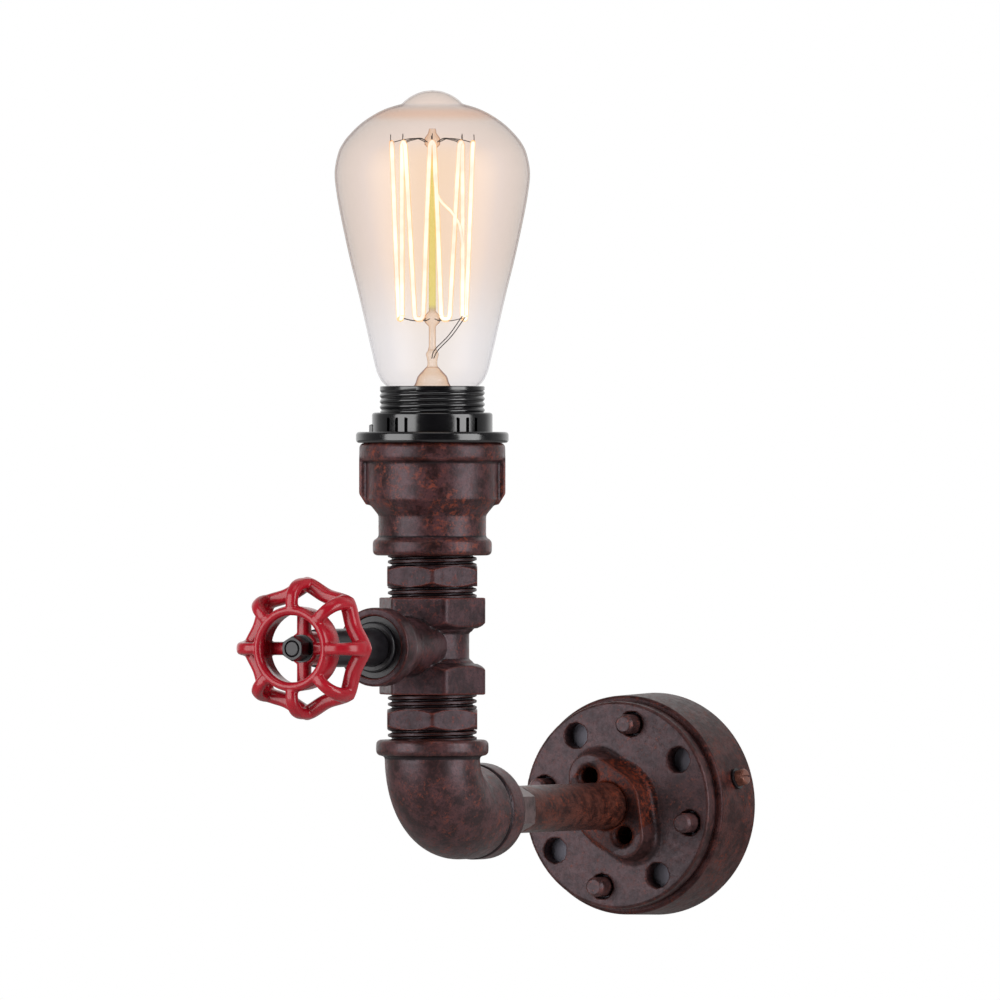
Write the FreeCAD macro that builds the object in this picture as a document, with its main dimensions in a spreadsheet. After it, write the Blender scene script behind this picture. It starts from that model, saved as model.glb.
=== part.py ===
import FreeCAD, Part
import math
import os

import Sketcher

# A wall light made of pipe fittings: a round canopy and a cast flange carry a pipe arm to an elbow.
# Hexagon nipples, a valve body with a handwheel and a reducing socket stand on the elbow.
# A lampholder in the socket carries a caged-filament lamp bulb.
#
# The wall is the plane y = 0 and the room lies towards -Y. The origin is on the axis of the arm.
# Fittings on the upright are drawn with their own Z axis pointing up. Pieces on the arm and on the
# valve are drawn with their own Z axis pointing from the wall into the room.

SIZES = {
    # Where the pieces stand
    "stack_reach": 181.6,
    "canopy_depth": 26.3,
    "flange_thickness": 6.7,
    "boss_height": 9.4,
    "elbow_top": 27.4,
    "lower_thread_shown": 3.8,
    "lower_thread_above": 5.5,
    "upper_thread_shown": 4.2,
    "upper_thread_above": 4.0,
    "tee_height": 36.2,
    "reducer_height": 42.0,
    "ring_thickness": 4.1,
    # Fits between the pieces
    "thread_fit": 0.05,
    "running_fit": 0.05,
    "soft_gap": 0.3,
    # Canopy and mounting plate
    "canopy_face_radius": 42.0,
    "canopy_wall_radius": 42.7,
    "canopy_edge_radius": 1.5,
    "canopy_sheet": 1.2,
    "side_screw_roll": 13.8,
    "side_screw_depth": 13.0,
    "side_screw_radius": 2.0,
    "side_screw_head_radius": 3.1,
    "side_screw_head_length": 3.6,
    "side_washer_radius": 4.0,
    "side_washer_thickness": 0.9,
    "side_screw_end": 1.0,
    "screw_slot_width": 0.9,
    "screw_slot_depth": 1.1,
    "plate_thickness": 2.0,
    "plate_margin": 3.5,
    "lug_width": 14.0,
    "lug_height": 18.5,
    "wall_screw_circle": 56.0,
    "wall_screw_hole_radius": 2.6,
    "cable_hole_radius": 7.0,
    # Terminal block and earth screw
    "block_bottom": 9.5,
    "block_length": 16.0,
    "block_width": 16.0,
    "block_thickness": 11.0,
    "pole_offset": 3.6,
    "block_screw_radius": 1.5,
    "block_screw_head_radius": 2.7,
    "block_screw_head_height": 1.8,
    "clamp_screw_radius": 1.7,
    "clamp_screw_length": 3.4,
    "clamp_screw_spacing": 8.0,
    "earth_screw_drop": 19.0,
    "earth_screw_radius": 2.0,
    "earth_head_radius": 3.6,
    "earth_head_height": 2.6,
    "earth_dome_height": 1.6,
    "earth_washer_radius": 4.6,
    "earth_washer_thickness": 0.8,
    # Flange and its studs
    "flange_radius": 39.7,
    "flange_edge_radius": 1.0,
    "flange_roll": 33.5,
    "bolt_circle_radius": 31.8,
    "bolt_hole_radius": 4.8,
    "stud_radius": 3.75,
    "stud_height": 13.6,
    "stud_tip": 1.2,
    "boss_middle_radius": 14.3,
    "boss_end_radius": 8.6,
    "boss_end_offset": 13.4,
    "boss_draft": 9.0,
    "boss_root_radius": 2.6,
    "boss_hole_radius": 3.45,
    "boss_hole_depth": 12.0,
    "boss_hole_mouth_radius": 4.95,
    # Arm
    "arm_radius": 8.95,
    "arm_bore_radius": 6.5,
    "arm_inner_end": 15.6,
    "arm_stop": 66.0,
    "washer_radius": 14.0,
    "washer_thickness": 1.2,
    "locknut_flats": 24.0,
    "locknut_thickness": 5.0,
    "adaptor_flats": 17.6,
    "adaptor_spigot": 10.0,
    "adaptor_bore_radius": 5.0,
    "adaptor_thread_radius": 13.2,
    "adaptor_thread_length": 11.5,
    # Elbow
    "bend_radius": 21.0,
    "elbow_radius": 17.8,
    "elbow_neck_top": 21.4,
    "elbow_bead_radius": 21.0,
    "elbow_bead_rounding": 1.8,
    "elbow_mouth": 41.4,
    "elbow_mouth_radius": 18.15,
    "elbow_mouth_length": 10.4,
    "elbow_groove_depth": 0.7,
    "elbow_groove_width": 1.4,
    # Bore and thread shared by the upright's fittings
    "bore_radius": 9.5,
    "thread_crest_radius": 16.6,
    "thread_root_radius": 15.1,
    "thread_engaged": 8.6,
    "thread_chamfer": 1.2,
    "nipple_hex_height": 7.5,
    "nipple_flats": 33.6,
    "nipple_hex_drop": 1.6,
    "fittings_roll": 28.0,
    # Valve body
    "tee_flats": 34.5,
    "tee_hex_roll": 41.7,
    "tee_hex_height": 9.3,
    "tee_shoulder_radius": 16.8,
    "tee_shoulder_drop": 2.2,
    "tee_body_radius": 13.8,
    "tee_end_drop": 0.5,
    "branch_length": 46.4,
    "branch_rim_radius": 14.65,
    "branch_rim_length": 7.4,
    "branch_neck_radius": 10.8,
    "branch_neck_end": 27.0,
    "branch_rounding": 1.0,
    "branch_thread_radius": 11.6,
    "branch_thread_length": 10.8,
    # Valve parts
    "bonnet_recess": 1.2,
    "bonnet_ring_radius": 9.4,
    "bonnet_ring_height": 2.4,
    "sleeve_radius": 7.1,
    "sleeve_engaged": 8.0,
    "wheel_gap": 0.5,
    "spindle_radius": 4.0,
    "collar_radius": 6.0,
    "collar_thickness": 1.4,
    "switch_radius": 8.3,
    "switch_length": 20.4,
    "switch_socket_depth": 8.0,
    "tail_radius": 0.9,
    "tail_spacing": 7.0,
    "stem_radius": 3.1,
    "stem_end": 108.7,
    "hub_back": 90.6,
    "hub_front": 101.0,
    "hub_radius": 6.25,
    "hub_rounding": 0.8,
    "ring_inner_radius": 13.2,
    "ring_outer_radius": 15.6,
    "ring_front": 111.6,
    "spoke_width": 5.0,
    "spoke_back": 97.4,
    "limb_width": 4.4,
    "limb_front": 110.4,
    "limb_back": 104.4,
    "rim_plane": 98.2,
    "rim_bar_radius": 2.1,
    "rim_tip_radius": 24.5,
    "rim_middle_radius": 21.1,
    "rim_tip_bend": 3.2,
    "wheel_washer_radius": 5.2,
    "wheel_washer_thickness": 0.8,
    "wheel_nut_flats": 8.0,
    "wheel_nut_height": 6.8,
    # Reducing socket
    "reducer_bead_radius": 22.25,
    "reducer_bead_height": 6.3,
    "reducer_neck_radius": 20.1,
    "reducer_neck_top": 15.0,
    "reducer_body_radius": 24.7,
    "reducer_cone_top": 20.8,
    "reducer_band_radius": 27.25,
    "reducer_band_height": 6.8,
    "reducer_rounding": 1.8,
    "rib_radius": 27.3,
    "rib_width": 7.0,
    "rib_bottom": 18.9,
    "rib_taper": 4.1,
    # Lampholder
    "ring_radius": 28.5,
    "ring_rounding": 1.2,
    "holder_body_radius": 19.3,
    "holder_collar_radius": 22.5,
    "holder_collar_height": 7.2,
    "holder_collar_chamfer": 0.8,
    "skirt_thread_radius": 19.9,
    "skirt_top": 17.05,
    "skirt_bore_radius": 17.6,
    "holder_depth": 25.0,
    "holder_lip": 2.0,
    "holder_lip_radius": 14.6,
    "holder_base_radius": 17.4,
    "holder_base_height": 6.0,
    "shell_inner_radius": 13.3,
    "shell_thickness": 0.5,
    "shell_height": 17.0,
    "shell_foot_radius": 16.2,
    "shell_foot_thickness": 0.8,
    "contact_radius": 4.0,
    "contact_height": 1.4,
    "terminal_width": 5.4,
    "terminal_depth": 7.0,
    "terminal_height": 6.0,
    # Leads
    "lead_radius": 1.1,
    "lead_first_bend": 7.0,
    "lead_depth": 7.4,
    "lead_grip": 3.0,
    # Lamp bulb, measured from its centre contact
    "cap_tip_radius": 4.6,
    "cap_tip_height": 1.5,
    "insulator_radius": 11.4,
    "insulator_top": 5.6,
    "cap_radius": 13.1,
    "cap_top": 24.6,
    "cap_wall": 0.5,
    "glass_wall": 0.8,
    "glass_neck_radius": 12.2,
    "glass_neck_bottom": 18.0,
    "glass_neck_length": 8.0,
    "glass_rim_radius": 17.0,
    "glass_rim_rise": 6.4,
    "glass_flare_radius": 22.05,
    "glass_flare_rise": 10.6,
    "glass_flare_bend": 34.0,
    "glass_shoulder_radius": 35.6,
    "glass_side_rise": 61.6,
    "glass_shoulder_bend": 22.9,
    "glass_crown_radius": 30.4,
    "glass_shoulder_rise": 22.0,
    "glass_crown_bend": 35.8,
    "glass_tip_base_radius": 11.2,
    "glass_crown_rise": 11.6,
    "glass_tip_radius": 3.2,
    "glass_tip_rise": 3.2,
    "glass_tip_end": 1.7,
    "stem_foot_radius": 11.0,
    "stem_foot_height": 24.0,
    "stem_foot_edge": 1.0,
    "stem_dome_radius": 6.2,
    "stem_dome_height": 33.0,
    "stem_pinch_radius": 3.0,
    "stem_pinch_height": 41.0,
    "stem_rod_radius": 1.7,
    "stem_rod_bottom": 46.0,
    "stem_rod_end": 5.0,
    "stem_button_radius": 2.9,
    "lower_hook_height": 57.8,
    "lower_hook_radius": 13.0,
    "lower_hook_width": 1.6,
    "upper_hook_drop": 2.6,
    "upper_hook_radius": 15.2,
    "filament_radius": 0.35,
    "support_radius": 0.25,
}

TURN = 360
FACING = 8
SPOKES = 4
FLANGE_HOLES = 8
FLANGE_STUDS = 4
HOOKS = 8
HALF_CORNER = 30
BEVEL_SLOPE = math.tan(math.radians(HALF_CORNER))
CORNER_SHARE = math.cos(math.radians(HALF_CORNER))
# How far a cut runs past the face that it opens, and how many times its depth it is when it goes right through
PAST = 1
THROUGH = 3
SMALLEST_CUT = 1e-6
SAME_PLACE = 0.01


# Sizes that remember their formula, so that every sketch follows the sheet

class Size:
    """A size in mm or degrees, together with its formula in the words of the sheet."""

    def __init__(self, formula, value):
        self.formula = formula
        self.value = value

    def __add__(self, other):
        other = as_size(other)
        return Size(f"({self.formula} + {other.formula})", self.value + other.value)

    def __sub__(self, other):
        other = as_size(other)
        return Size(f"({self.formula} - {other.formula})", self.value - other.value)

    def __rsub__(self, other):
        return as_size(other) - self

    def __mul__(self, other):
        other = as_size(other)
        return Size(f"({self.formula} * {other.formula})", self.value * other.value)

    def __truediv__(self, other):
        other = as_size(other)
        return Size(f"({self.formula} / {other.formula})", self.value / other.value)

    def __neg__(self):
        return Size(f"(0 - {self.formula})", -self.value)

    __radd__ = __add__
    __rmul__ = __mul__


def as_size(size):
    """Lets a plain number stand where a size is expected."""
    if isinstance(size, Size):
        return size
    return Size(f"({float(size)})", float(size))


def value_of(size):
    return as_size(size).value


def root(size):
    return Size(f"sqrt({size.formula})", math.sqrt(size.value))


def cosine(angle):
    angle = as_size(angle)
    return Size(f"cos({angle.formula})", math.cos(math.radians(angle.value)))


def sine(angle):
    angle = as_size(angle)
    return Size(f"sin({angle.formula})", math.sin(math.radians(angle.value)))


class Given:
    """Gives each driving size by its name."""

    def __getattr__(self, name):
        return Size(f"Sizes.{name}", SIZES[name])


given = Given()
doc = FreeCAD.newDocument("pipe_wall_light")


def fill_sheet():
    sheet = doc.addObject("Spreadsheet::Sheet", "Sizes")
    for row, (name, value) in enumerate(SIZES.items(), start=1):
        sheet.set(f"A{row}", name)
        sheet.set(f"B{row}", str(value))
        sheet.setAlias(f"B{row}", name)
    doc.recompute()


def bind(thing, name, size):
    """Ties one property to its formula."""
    thing.setExpression(name, as_size(size).formula)


# Sub-parts and their frames

def upright_body(label, height, roll=0):
    """Starts a sub-part on the axis of the upright, with its own Z axis pointing up."""
    body = doc.addObject("PartDesign::Body", label)
    place = f"vector(0; {(-given.stack_reach).formula}; {as_size(height).formula})"
    turn = f"rotation(vector(0; 0; 1); {as_size(roll).formula})"
    body.setExpression("Placement", f"placement({place}; {turn})")
    return body


def level_body(label, reach, height=0, roll=0):
    """Starts a sub-part at some reach from the wall, with its own Z axis pointing into the room."""
    body = doc.addObject("PartDesign::Body", label)
    place = f"vector(0; {(-as_size(reach)).formula}; {as_size(height).formula})"
    turn = f"rotation(vector(1; 0; 0); 90) * rotation(vector(0; 0; 1); {as_size(roll).formula})"
    body.setExpression("Placement", f"placement({place}; {turn})")
    return body


def origin_feature(body, role):
    return [feature for feature in body.Origin.OriginFeatures if feature.Role == role][0]


# Sketches

def new_sketch(body, name, plane, lift=None):
    """Starts a sketch on one of the body's own planes, lifted along the plane's normal."""
    sketch = body.newObject("Sketcher::SketchObject", name)
    sketch.AttachmentSupport = (origin_feature(body, plane), "")
    sketch.MapMode = "FlatFace"
    if lift is not None:
        bind(sketch, "AttachmentOffset.Base.z", lift)
    return sketch


def pin(sketch, element, point, across, along):
    """Holds one point of a sketch at two distances from its origin."""
    for kind, axis, size in (("DistanceX", -2, as_size(across)), ("DistanceY", -1, as_size(along))):
        if size.value == 0:
            sketch.addConstraint(Sketcher.Constraint("PointOnObject", element, point, axis))
        else:
            number = sketch.addConstraint(Sketcher.Constraint(kind, -1, 1, element, point, size.value))
            bind(sketch, f"Constraints[{number}]", size)


def hold_radius(sketch, element, radius):
    radius = as_size(radius)
    number = sketch.addConstraint(Sketcher.Constraint("Radius", element, radius.value))
    bind(sketch, f"Constraints[{number}]", radius)


def point_of(corner):
    return FreeCAD.Vector(as_size(corner[0]).value, as_size(corner[1]).value, 0)


def arc_between(start, end, radius, centre_side):
    """The arc from start to end whose centre lies on the given side of the way of travel."""
    chord = end - start
    lift = math.sqrt(max(radius ** 2 - chord.Length ** 2 / 4, 0))
    normal = FreeCAD.Vector(-chord.y, chord.x, 0).normalize()
    sign = 1 if centre_side == "left" else -1
    centre = start + chord * 0.5 + normal * (lift * sign)
    first, last = (start, end) if centre_side == "left" else (end, start)
    first_angle = math.atan2(first.y - centre.y, first.x - centre.x)
    last_angle = math.atan2(last.y - centre.y, last.x - centre.x)
    if last_angle < first_angle:
        last_angle += 2 * math.pi
    circle = Part.Circle(centre, FreeCAD.Vector(0, 0, 1), radius)
    return Part.ArcOfCircle(circle, first_angle, last_angle)


def chain(sketch, corners, closed):
    """Draws lines and arcs from corner to corner; a corner may carry the arc to the next one."""
    count = len(corners) if closed else len(corners) - 1
    starts = []
    ends = []
    for number in range(count):
        here = corners[number]
        start = point_of(here)
        end = point_of(corners[(number + 1) % len(corners)])
        if len(here) == 2:
            sketch.addGeometry(Part.LineSegment(start, end), False)
        else:
            sketch.addGeometry(arc_between(start, end, as_size(here[2]).value, here[3]), False)
        swapped = len(here) > 2 and here[3] == "right"
        starts.append(2 if swapped else 1)
        ends.append(1 if swapped else 2)
    for number in range(count):
        if closed or number > 0:
            before = (number - 1) % count
            sketch.addConstraint(
                Sketcher.Constraint("Coincident", before, ends[before], number, starts[number]))
        pin(sketch, number, starts[number], corners[number][0], corners[number][1])
        if len(corners[number]) > 2:
            hold_radius(sketch, number, corners[number][2])
    if not closed:
        pin(sketch, count - 1, ends[count - 1], corners[-1][0], corners[-1][1])
    return sketch


def outline(body, name, plane, corners, lift=None):
    return chain(new_sketch(body, name, plane, lift), corners, True)


def add_circle(sketch, across, along, radius):
    centre = point_of((across, along))
    circle = Part.Circle(centre, FreeCAD.Vector(0, 0, 1), value_of(radius))
    element = sketch.addGeometry(circle, False)
    pin(sketch, element, 3, across, along)
    hold_radius(sketch, element, radius)


def rounds(body, name, plane, places, lift=None):
    """Draws circles, each given by its centre and radius."""
    sketch = new_sketch(body, name, plane, lift)
    for across, along, radius in places:
        add_circle(sketch, across, along, radius)
    return sketch


def box_corners(left, right, bottom, top):
    return [(left, bottom), (right, bottom), (right, top), (left, top)]


def hexagon_corners(flats, roll):
    """The corners of a hexagon given by its width across flats."""
    reach = flats / (2 * CORNER_SHARE)
    angles = [as_size(roll) + HALF_CORNER * (2 * number + 1) for number in range(6)]
    return [(reach * cosine(angle), reach * sine(angle)) for angle in angles]


# Features

def settle(body, feature):
    body.Tip = feature
    doc.recompute()
    return feature


def must_remove(body, volume, feature):
    """Stops when a cut has taken nothing away."""
    settle(body, feature)
    if body.Shape.Volume > volume - SMALLEST_CUT:
        raise ValueError(f"{body.Label}: {feature.Name} removes nothing")
    return feature


def pad(body, name, sketch, length, midplane=False, taper=0):
    feature = body.newObject("PartDesign::Pad", name)
    feature.Profile = sketch
    bind(feature, "Length", length)
    feature.SideType = "Symmetric" if midplane else "One side"
    if as_size(taper).value:
        bind(feature, "TaperAngle", taper)
    return settle(body, feature)


def pocket(body, name, sketch, length, midplane=False, taper=0, upwards=False):
    doc.recompute()
    volume = body.Shape.Volume
    feature = body.newObject("PartDesign::Pocket", name)
    feature.Profile = sketch
    feature.Type = "Length"
    bind(feature, "Length", length)
    feature.SideType = "Symmetric" if midplane else "One side"
    feature.Reversed = upwards
    if as_size(taper).value:
        bind(feature, "TaperAngle", taper)
    return must_remove(body, volume, feature)


def revolve(body, name, sketch, axis="V_Axis", angle=TURN, backwards=False):
    feature = body.newObject("PartDesign::Revolution", name)
    feature.Profile = sketch
    feature.ReferenceAxis = (sketch, [axis])
    feature.Angle = angle
    feature.Reversed = backwards
    return settle(body, feature)


def groove(body, name, sketch, axis="V_Axis", angle=TURN):
    doc.recompute()
    volume = body.Shape.Volume
    feature = body.newObject("PartDesign::Groove", name)
    feature.Profile = sketch
    feature.ReferenceAxis = (sketch, [axis])
    feature.Angle = angle
    return must_remove(body, volume, feature)


def repeat_round(body, name, feature, count, angle=TURN, axis="Z_Axis"):
    pattern = body.newObject("PartDesign::PolarPattern", name)
    pattern.Originals = [feature]
    pattern.Axis = (origin_feature(body, axis), [""])
    pattern.Angle = angle
    body.Tip = pattern
    pattern.Occurrences = count
    return settle(body, pattern)


def sweep(body, name, profile, path):
    feature = body.newObject("PartDesign::AdditivePipe", name)
    feature.Profile = profile
    edges = [f"Edge{number + 1}" for number in range(len(path.Shape.Edges))]
    feature.Spine = (path, edges)
    return settle(body, feature)


def turned(body, name, corners, plane="XZ_Plane"):
    """A solid of revolution from an outline."""
    return revolve(body, name, outline(body, f"{name}_outline", plane, corners))


def loft(body, name, first, last):
    """A straight-sided solid between two outlines."""
    feature = body.newObject("PartDesign::AdditiveLoft", name)
    feature.Profile = first
    feature.Sections = [last]
    feature.Ruled = True
    return settle(body, feature)


def trim_hexagon(body, name, flats, face_radius, face, inwards):
    """Bevels the corners of a hexagon at one of its end faces."""
    reach = flats / (2 * CORNER_SHARE) + PAST
    drop = (reach - face_radius) * BEVEL_SLOPE
    back = face + drop * inwards
    corners = [(face_radius, face), (reach, face), (reach, back)]
    if inwards > 0:
        corners.reverse()
    return groove(body, name, outline(body, f"{name}_outline", "XZ_Plane", corners))


# Heights and reaches that follow from the driving sizes

canopy_inner_radius = given.canopy_face_radius - given.canopy_sheet
canopy_inner_face = given.canopy_depth - given.canopy_sheet
boss_face = given.canopy_depth + given.flange_thickness + given.boss_height
lower_nipple_height = given.elbow_top + given.lower_thread_shown
tee_bottom = lower_nipple_height + given.nipple_hex_height + given.lower_thread_above
branch_height = tee_bottom + given.tee_height / 2
upper_nipple_height = tee_bottom + given.tee_height + given.upper_thread_shown
reducer_bottom = upper_nipple_height + given.nipple_hex_height + given.upper_thread_above
ring_bottom = reducer_bottom + given.reducer_height
holder_collar_bottom = ring_bottom + given.ring_thickness
holder_floor = given.holder_lip + given.holder_base_height - given.holder_depth
bulb_height = holder_collar_bottom + holder_floor + given.contact_height
lug_reach = root(canopy_inner_radius * canopy_inner_radius
                 - given.lug_width * given.lug_width / 4) - given.soft_gap
engaged_radius = given.thread_root_radius + given.thread_fit
arm_outer_end = given.stack_reach - given.arm_stop
adaptor_shoulder = given.arm_stop - given.elbow_mouth
adaptor_thread_bore = given.adaptor_thread_radius + given.thread_fit
bonnet_back = given.branch_length - given.branch_thread_length - given.bonnet_recess
collar_back = bonnet_back - given.soft_gap - given.collar_thickness
switch_front = collar_back - given.soft_gap
switch_back = switch_front - given.switch_length
glass_neck_top = given.glass_neck_bottom + given.glass_neck_length
glass_rim_height = glass_neck_top + given.glass_rim_rise
glass_flare_height = glass_rim_height + given.glass_flare_rise
glass_shoulder_height = glass_flare_height + given.glass_side_rise
glass_crown_height = glass_shoulder_height + given.glass_shoulder_rise
glass_tip_base_height = glass_crown_height + given.glass_crown_rise
glass_tip_height = glass_tip_base_height + given.glass_tip_rise
upper_hook_height = glass_crown_height - given.upper_hook_drop
upper_hook_roll = given.fittings_roll
lower_hook_roll = upper_hook_roll + TURN / HOOKS / 2


# Wall end

def mounting_plate():
    """Pressed steel plate with two lugs for the side screws, screwed to the wall."""
    body = level_body("mounting_plate", 0, roll=given.side_screw_roll)
    plate_radius = canopy_inner_radius - given.plate_margin
    pad(body, "plate", rounds(body, "plate_outline", "XY_Plane", [(0, 0, plate_radius)]),
        given.plate_thickness)
    half = given.lug_width / 2
    for side, sign in (("right", 1), ("left", -1)):
        outer = lug_reach * sign
        inner = (lug_reach - given.plate_thickness) * sign
        middle = (plate_radius / 2) * sign
        tongue = box_corners(min(outer, middle, key=value_of), max(outer, middle, key=value_of), -half, half)
        lug = box_corners(min(outer, inner, key=value_of), max(outer, inner, key=value_of), -half, half)
        pad(body, f"{side}_tongue", outline(body, f"{side}_tongue_outline", "XY_Plane", tongue),
            given.plate_thickness)
        pad(body, f"{side}_lug", outline(body, f"{side}_lug_outline", "XY_Plane", lug), given.lug_height)
    wall_screw = given.wall_screw_circle / 2
    earth = given.earth_screw_drop
    fixing = given.block_bottom + given.block_length / 2
    lean = given.side_screw_roll
    holes = [
        (0, 0, given.cable_hole_radius),
        (wall_screw, 0, given.wall_screw_hole_radius),
        (-wall_screw, 0, given.wall_screw_hole_radius),
        (fixing * sine(lean), fixing * cosine(lean), given.block_screw_radius + given.thread_fit),
        (-(earth * sine(lean)), -(earth * cosine(lean)), given.earth_screw_radius + given.thread_fit),
    ]
    pocket(body, "plate_holes", rounds(body, "plate_hole_circles", "XY_Plane", holes),
           given.plate_thickness * THROUGH, midplane=True)
    lug_hole = [(0, given.side_screw_depth, given.side_screw_radius + given.thread_fit)]
    pocket(body, "lug_holes", rounds(body, "lug_hole_circle", "YZ_Plane", lug_hole),
           lug_reach * THROUGH, midplane=True)
    return body


def wall_canopy():
    """Round sheet-steel cup over the mounting plate, drawn with its open side on the wall."""
    body = level_body("wall_canopy", 0, roll=given.side_screw_roll)
    edge = given.canopy_edge_radius
    face = given.canopy_depth
    hole = given.arm_radius + given.soft_gap
    corners = [
        (given.canopy_wall_radius, 0),
        (given.canopy_face_radius, face - edge, edge, "left"),
        (given.canopy_face_radius - edge, face),
        (hole, face),
        (hole, canopy_inner_face),
        (canopy_inner_radius, canopy_inner_face),
        (given.canopy_wall_radius - given.canopy_sheet, 0),
    ]
    turned(body, "cup", corners)
    screw_hole = [(0, given.side_screw_depth, given.side_screw_radius + given.soft_gap)]
    pocket(body, "side_holes", rounds(body, "side_hole_circle", "YZ_Plane", screw_hole),
           given.canopy_wall_radius * THROUGH, midplane=True)
    return body


def canopy_side_screws():
    """The two slotted screws that hold the canopy to the lugs of the mounting plate."""
    body = level_body("canopy_side_screws", given.side_screw_depth, roll=given.side_screw_roll)
    washer_seat = given.canopy_wall_radius - given.soft_gap / 2
    washer_top = washer_seat + given.side_washer_thickness
    end = washer_top + given.side_screw_head_length
    shank_start = lug_reach - given.plate_thickness - given.side_screw_end
    dome = given.side_screw_head_radius / 4
    corners = [
        (shank_start, 0),
        (end, 0),
        (end, given.side_screw_head_radius - dome, dome, "left"),
        (end - dome, given.side_screw_head_radius),
        (washer_top, given.side_screw_head_radius),
        (washer_top, given.side_washer_radius),
        (washer_seat, given.side_washer_radius),
        (washer_seat, given.side_screw_radius),
        (shank_start, given.side_screw_radius),
    ]
    screw = revolve(body, "screw", outline(body, "screw_outline", "XY_Plane", corners), axis="H_Axis")
    repeat_round(body, "screw_pair", screw, 2)
    half = given.screw_slot_width / 2
    for side, sign in (("right", 1), ("left", -1)):
        floor = (end - given.screw_slot_depth) * sign
        beyond = (end + PAST) * sign
        slot = box_corners(min(floor, beyond, key=value_of), max(floor, beyond, key=value_of), -half, half)
        pocket(body, f"{side}_slot", outline(body, f"{side}_slot_outline", "XY_Plane", slot),
               given.side_screw_head_radius * THROUGH, midplane=True)
    return body


def terminal_block():
    """Two-way block for the supply wires, with wire holes through it and wells for its screws."""
    body = level_body("terminal_block", given.plate_thickness)
    half = given.block_width / 2
    low = given.block_bottom
    high = low + given.block_length
    pad(body, "block", outline(body, "block_outline", "XY_Plane", box_corners(-half, half, low, high)),
        given.block_thickness)
    wire = given.lead_depth - given.plate_thickness
    entry = given.lead_radius + given.soft_gap / 2
    wire_holes = [(given.pole_offset, wire, entry), (-given.pole_offset, wire, entry)]
    pocket(body, "wire_holes", rounds(body, "wire_hole_circles", "XZ_Plane", wire_holes),
           high * THROUGH, midplane=True)
    middle = low + given.block_length / 2
    well = given.clamp_screw_radius + given.soft_gap / 2
    wells = []
    for across in (given.pole_offset, -given.pole_offset):
        for along in (middle - given.clamp_screw_spacing / 2, middle + given.clamp_screw_spacing / 2):
            wells.append((across, along, well))
    pocket(body, "screw_wells",
           rounds(body, "screw_well_circles", "XY_Plane", wells, given.block_thickness),
           given.block_thickness - wire)
    fixing_hole = [(0, middle, given.block_screw_radius + given.thread_fit)]
    pocket(body, "fixing_hole", rounds(body, "fixing_hole_circle", "XY_Plane", fixing_hole),
           given.block_thickness * THROUGH, midplane=True)
    head_seat = [(0, middle, given.block_screw_head_radius + given.thread_fit)]
    pocket(body, "head_seat",
           rounds(body, "head_seat_circle", "XY_Plane", head_seat, given.block_thickness),
           given.block_screw_head_height)
    return body


def terminal_screws():
    """The four clamping screws of the terminal block."""
    body = level_body("terminal_screws", given.lead_depth)
    middle = given.block_bottom + given.block_length / 2
    places = []
    for across in (given.pole_offset, -given.pole_offset):
        for along in (middle - given.clamp_screw_spacing / 2, middle + given.clamp_screw_spacing / 2):
            places.append((across, along, given.clamp_screw_radius))
    seat = given.lead_radius + given.thread_fit
    pad(body, "screws", rounds(body, "screw_circles", "XY_Plane", places, seat), given.clamp_screw_length)
    return body


def block_screw():
    """The screw that holds the terminal block to the mounting plate."""
    fixing = given.block_bottom + given.block_length / 2
    body = level_body("block_screw", 0, fixing)
    seat = given.plate_thickness + given.block_thickness - given.block_screw_head_height
    corners = [
        (0, 0),
        (given.block_screw_radius, 0),
        (given.block_screw_radius, seat),
        (given.block_screw_head_radius, seat),
        (given.block_screw_head_radius, seat + given.block_screw_head_height),
        (0, seat + given.block_screw_head_height),
    ]
    turned(body, "screw", corners)
    return body


def earth_washer():
    body = level_body("earth_washer", given.plate_thickness, -given.earth_screw_drop)
    hole = given.earth_screw_radius + given.thread_fit
    circles = [(0, 0, given.earth_washer_radius), (0, 0, hole)]
    pad(body, "washer", rounds(body, "washer_circles", "XY_Plane", circles), given.earth_washer_thickness)
    return body


def earth_screw():
    """Domed screw on the mounting plate for the earth wire."""
    body = level_body("earth_screw", 0, -given.earth_screw_drop)
    seat = given.plate_thickness + given.earth_washer_thickness
    top = seat + given.earth_head_height
    dome = given.earth_dome_height
    corners = [
        (0, 0),
        (given.earth_screw_radius, 0),
        (given.earth_screw_radius, seat),
        (given.earth_head_radius, seat),
        (given.earth_head_radius, top - dome),
        (given.earth_head_radius - dome, top),
        (0, top),
    ]
    turned(body, "screw", corners)
    half = given.screw_slot_width / 2
    slot = box_corners(-(given.earth_head_radius * 2), given.earth_head_radius * 2, -half, half)
    pocket(body, "slot", outline(body, "slot_outline", "XY_Plane", slot, top), given.screw_slot_depth)
    return body


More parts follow.
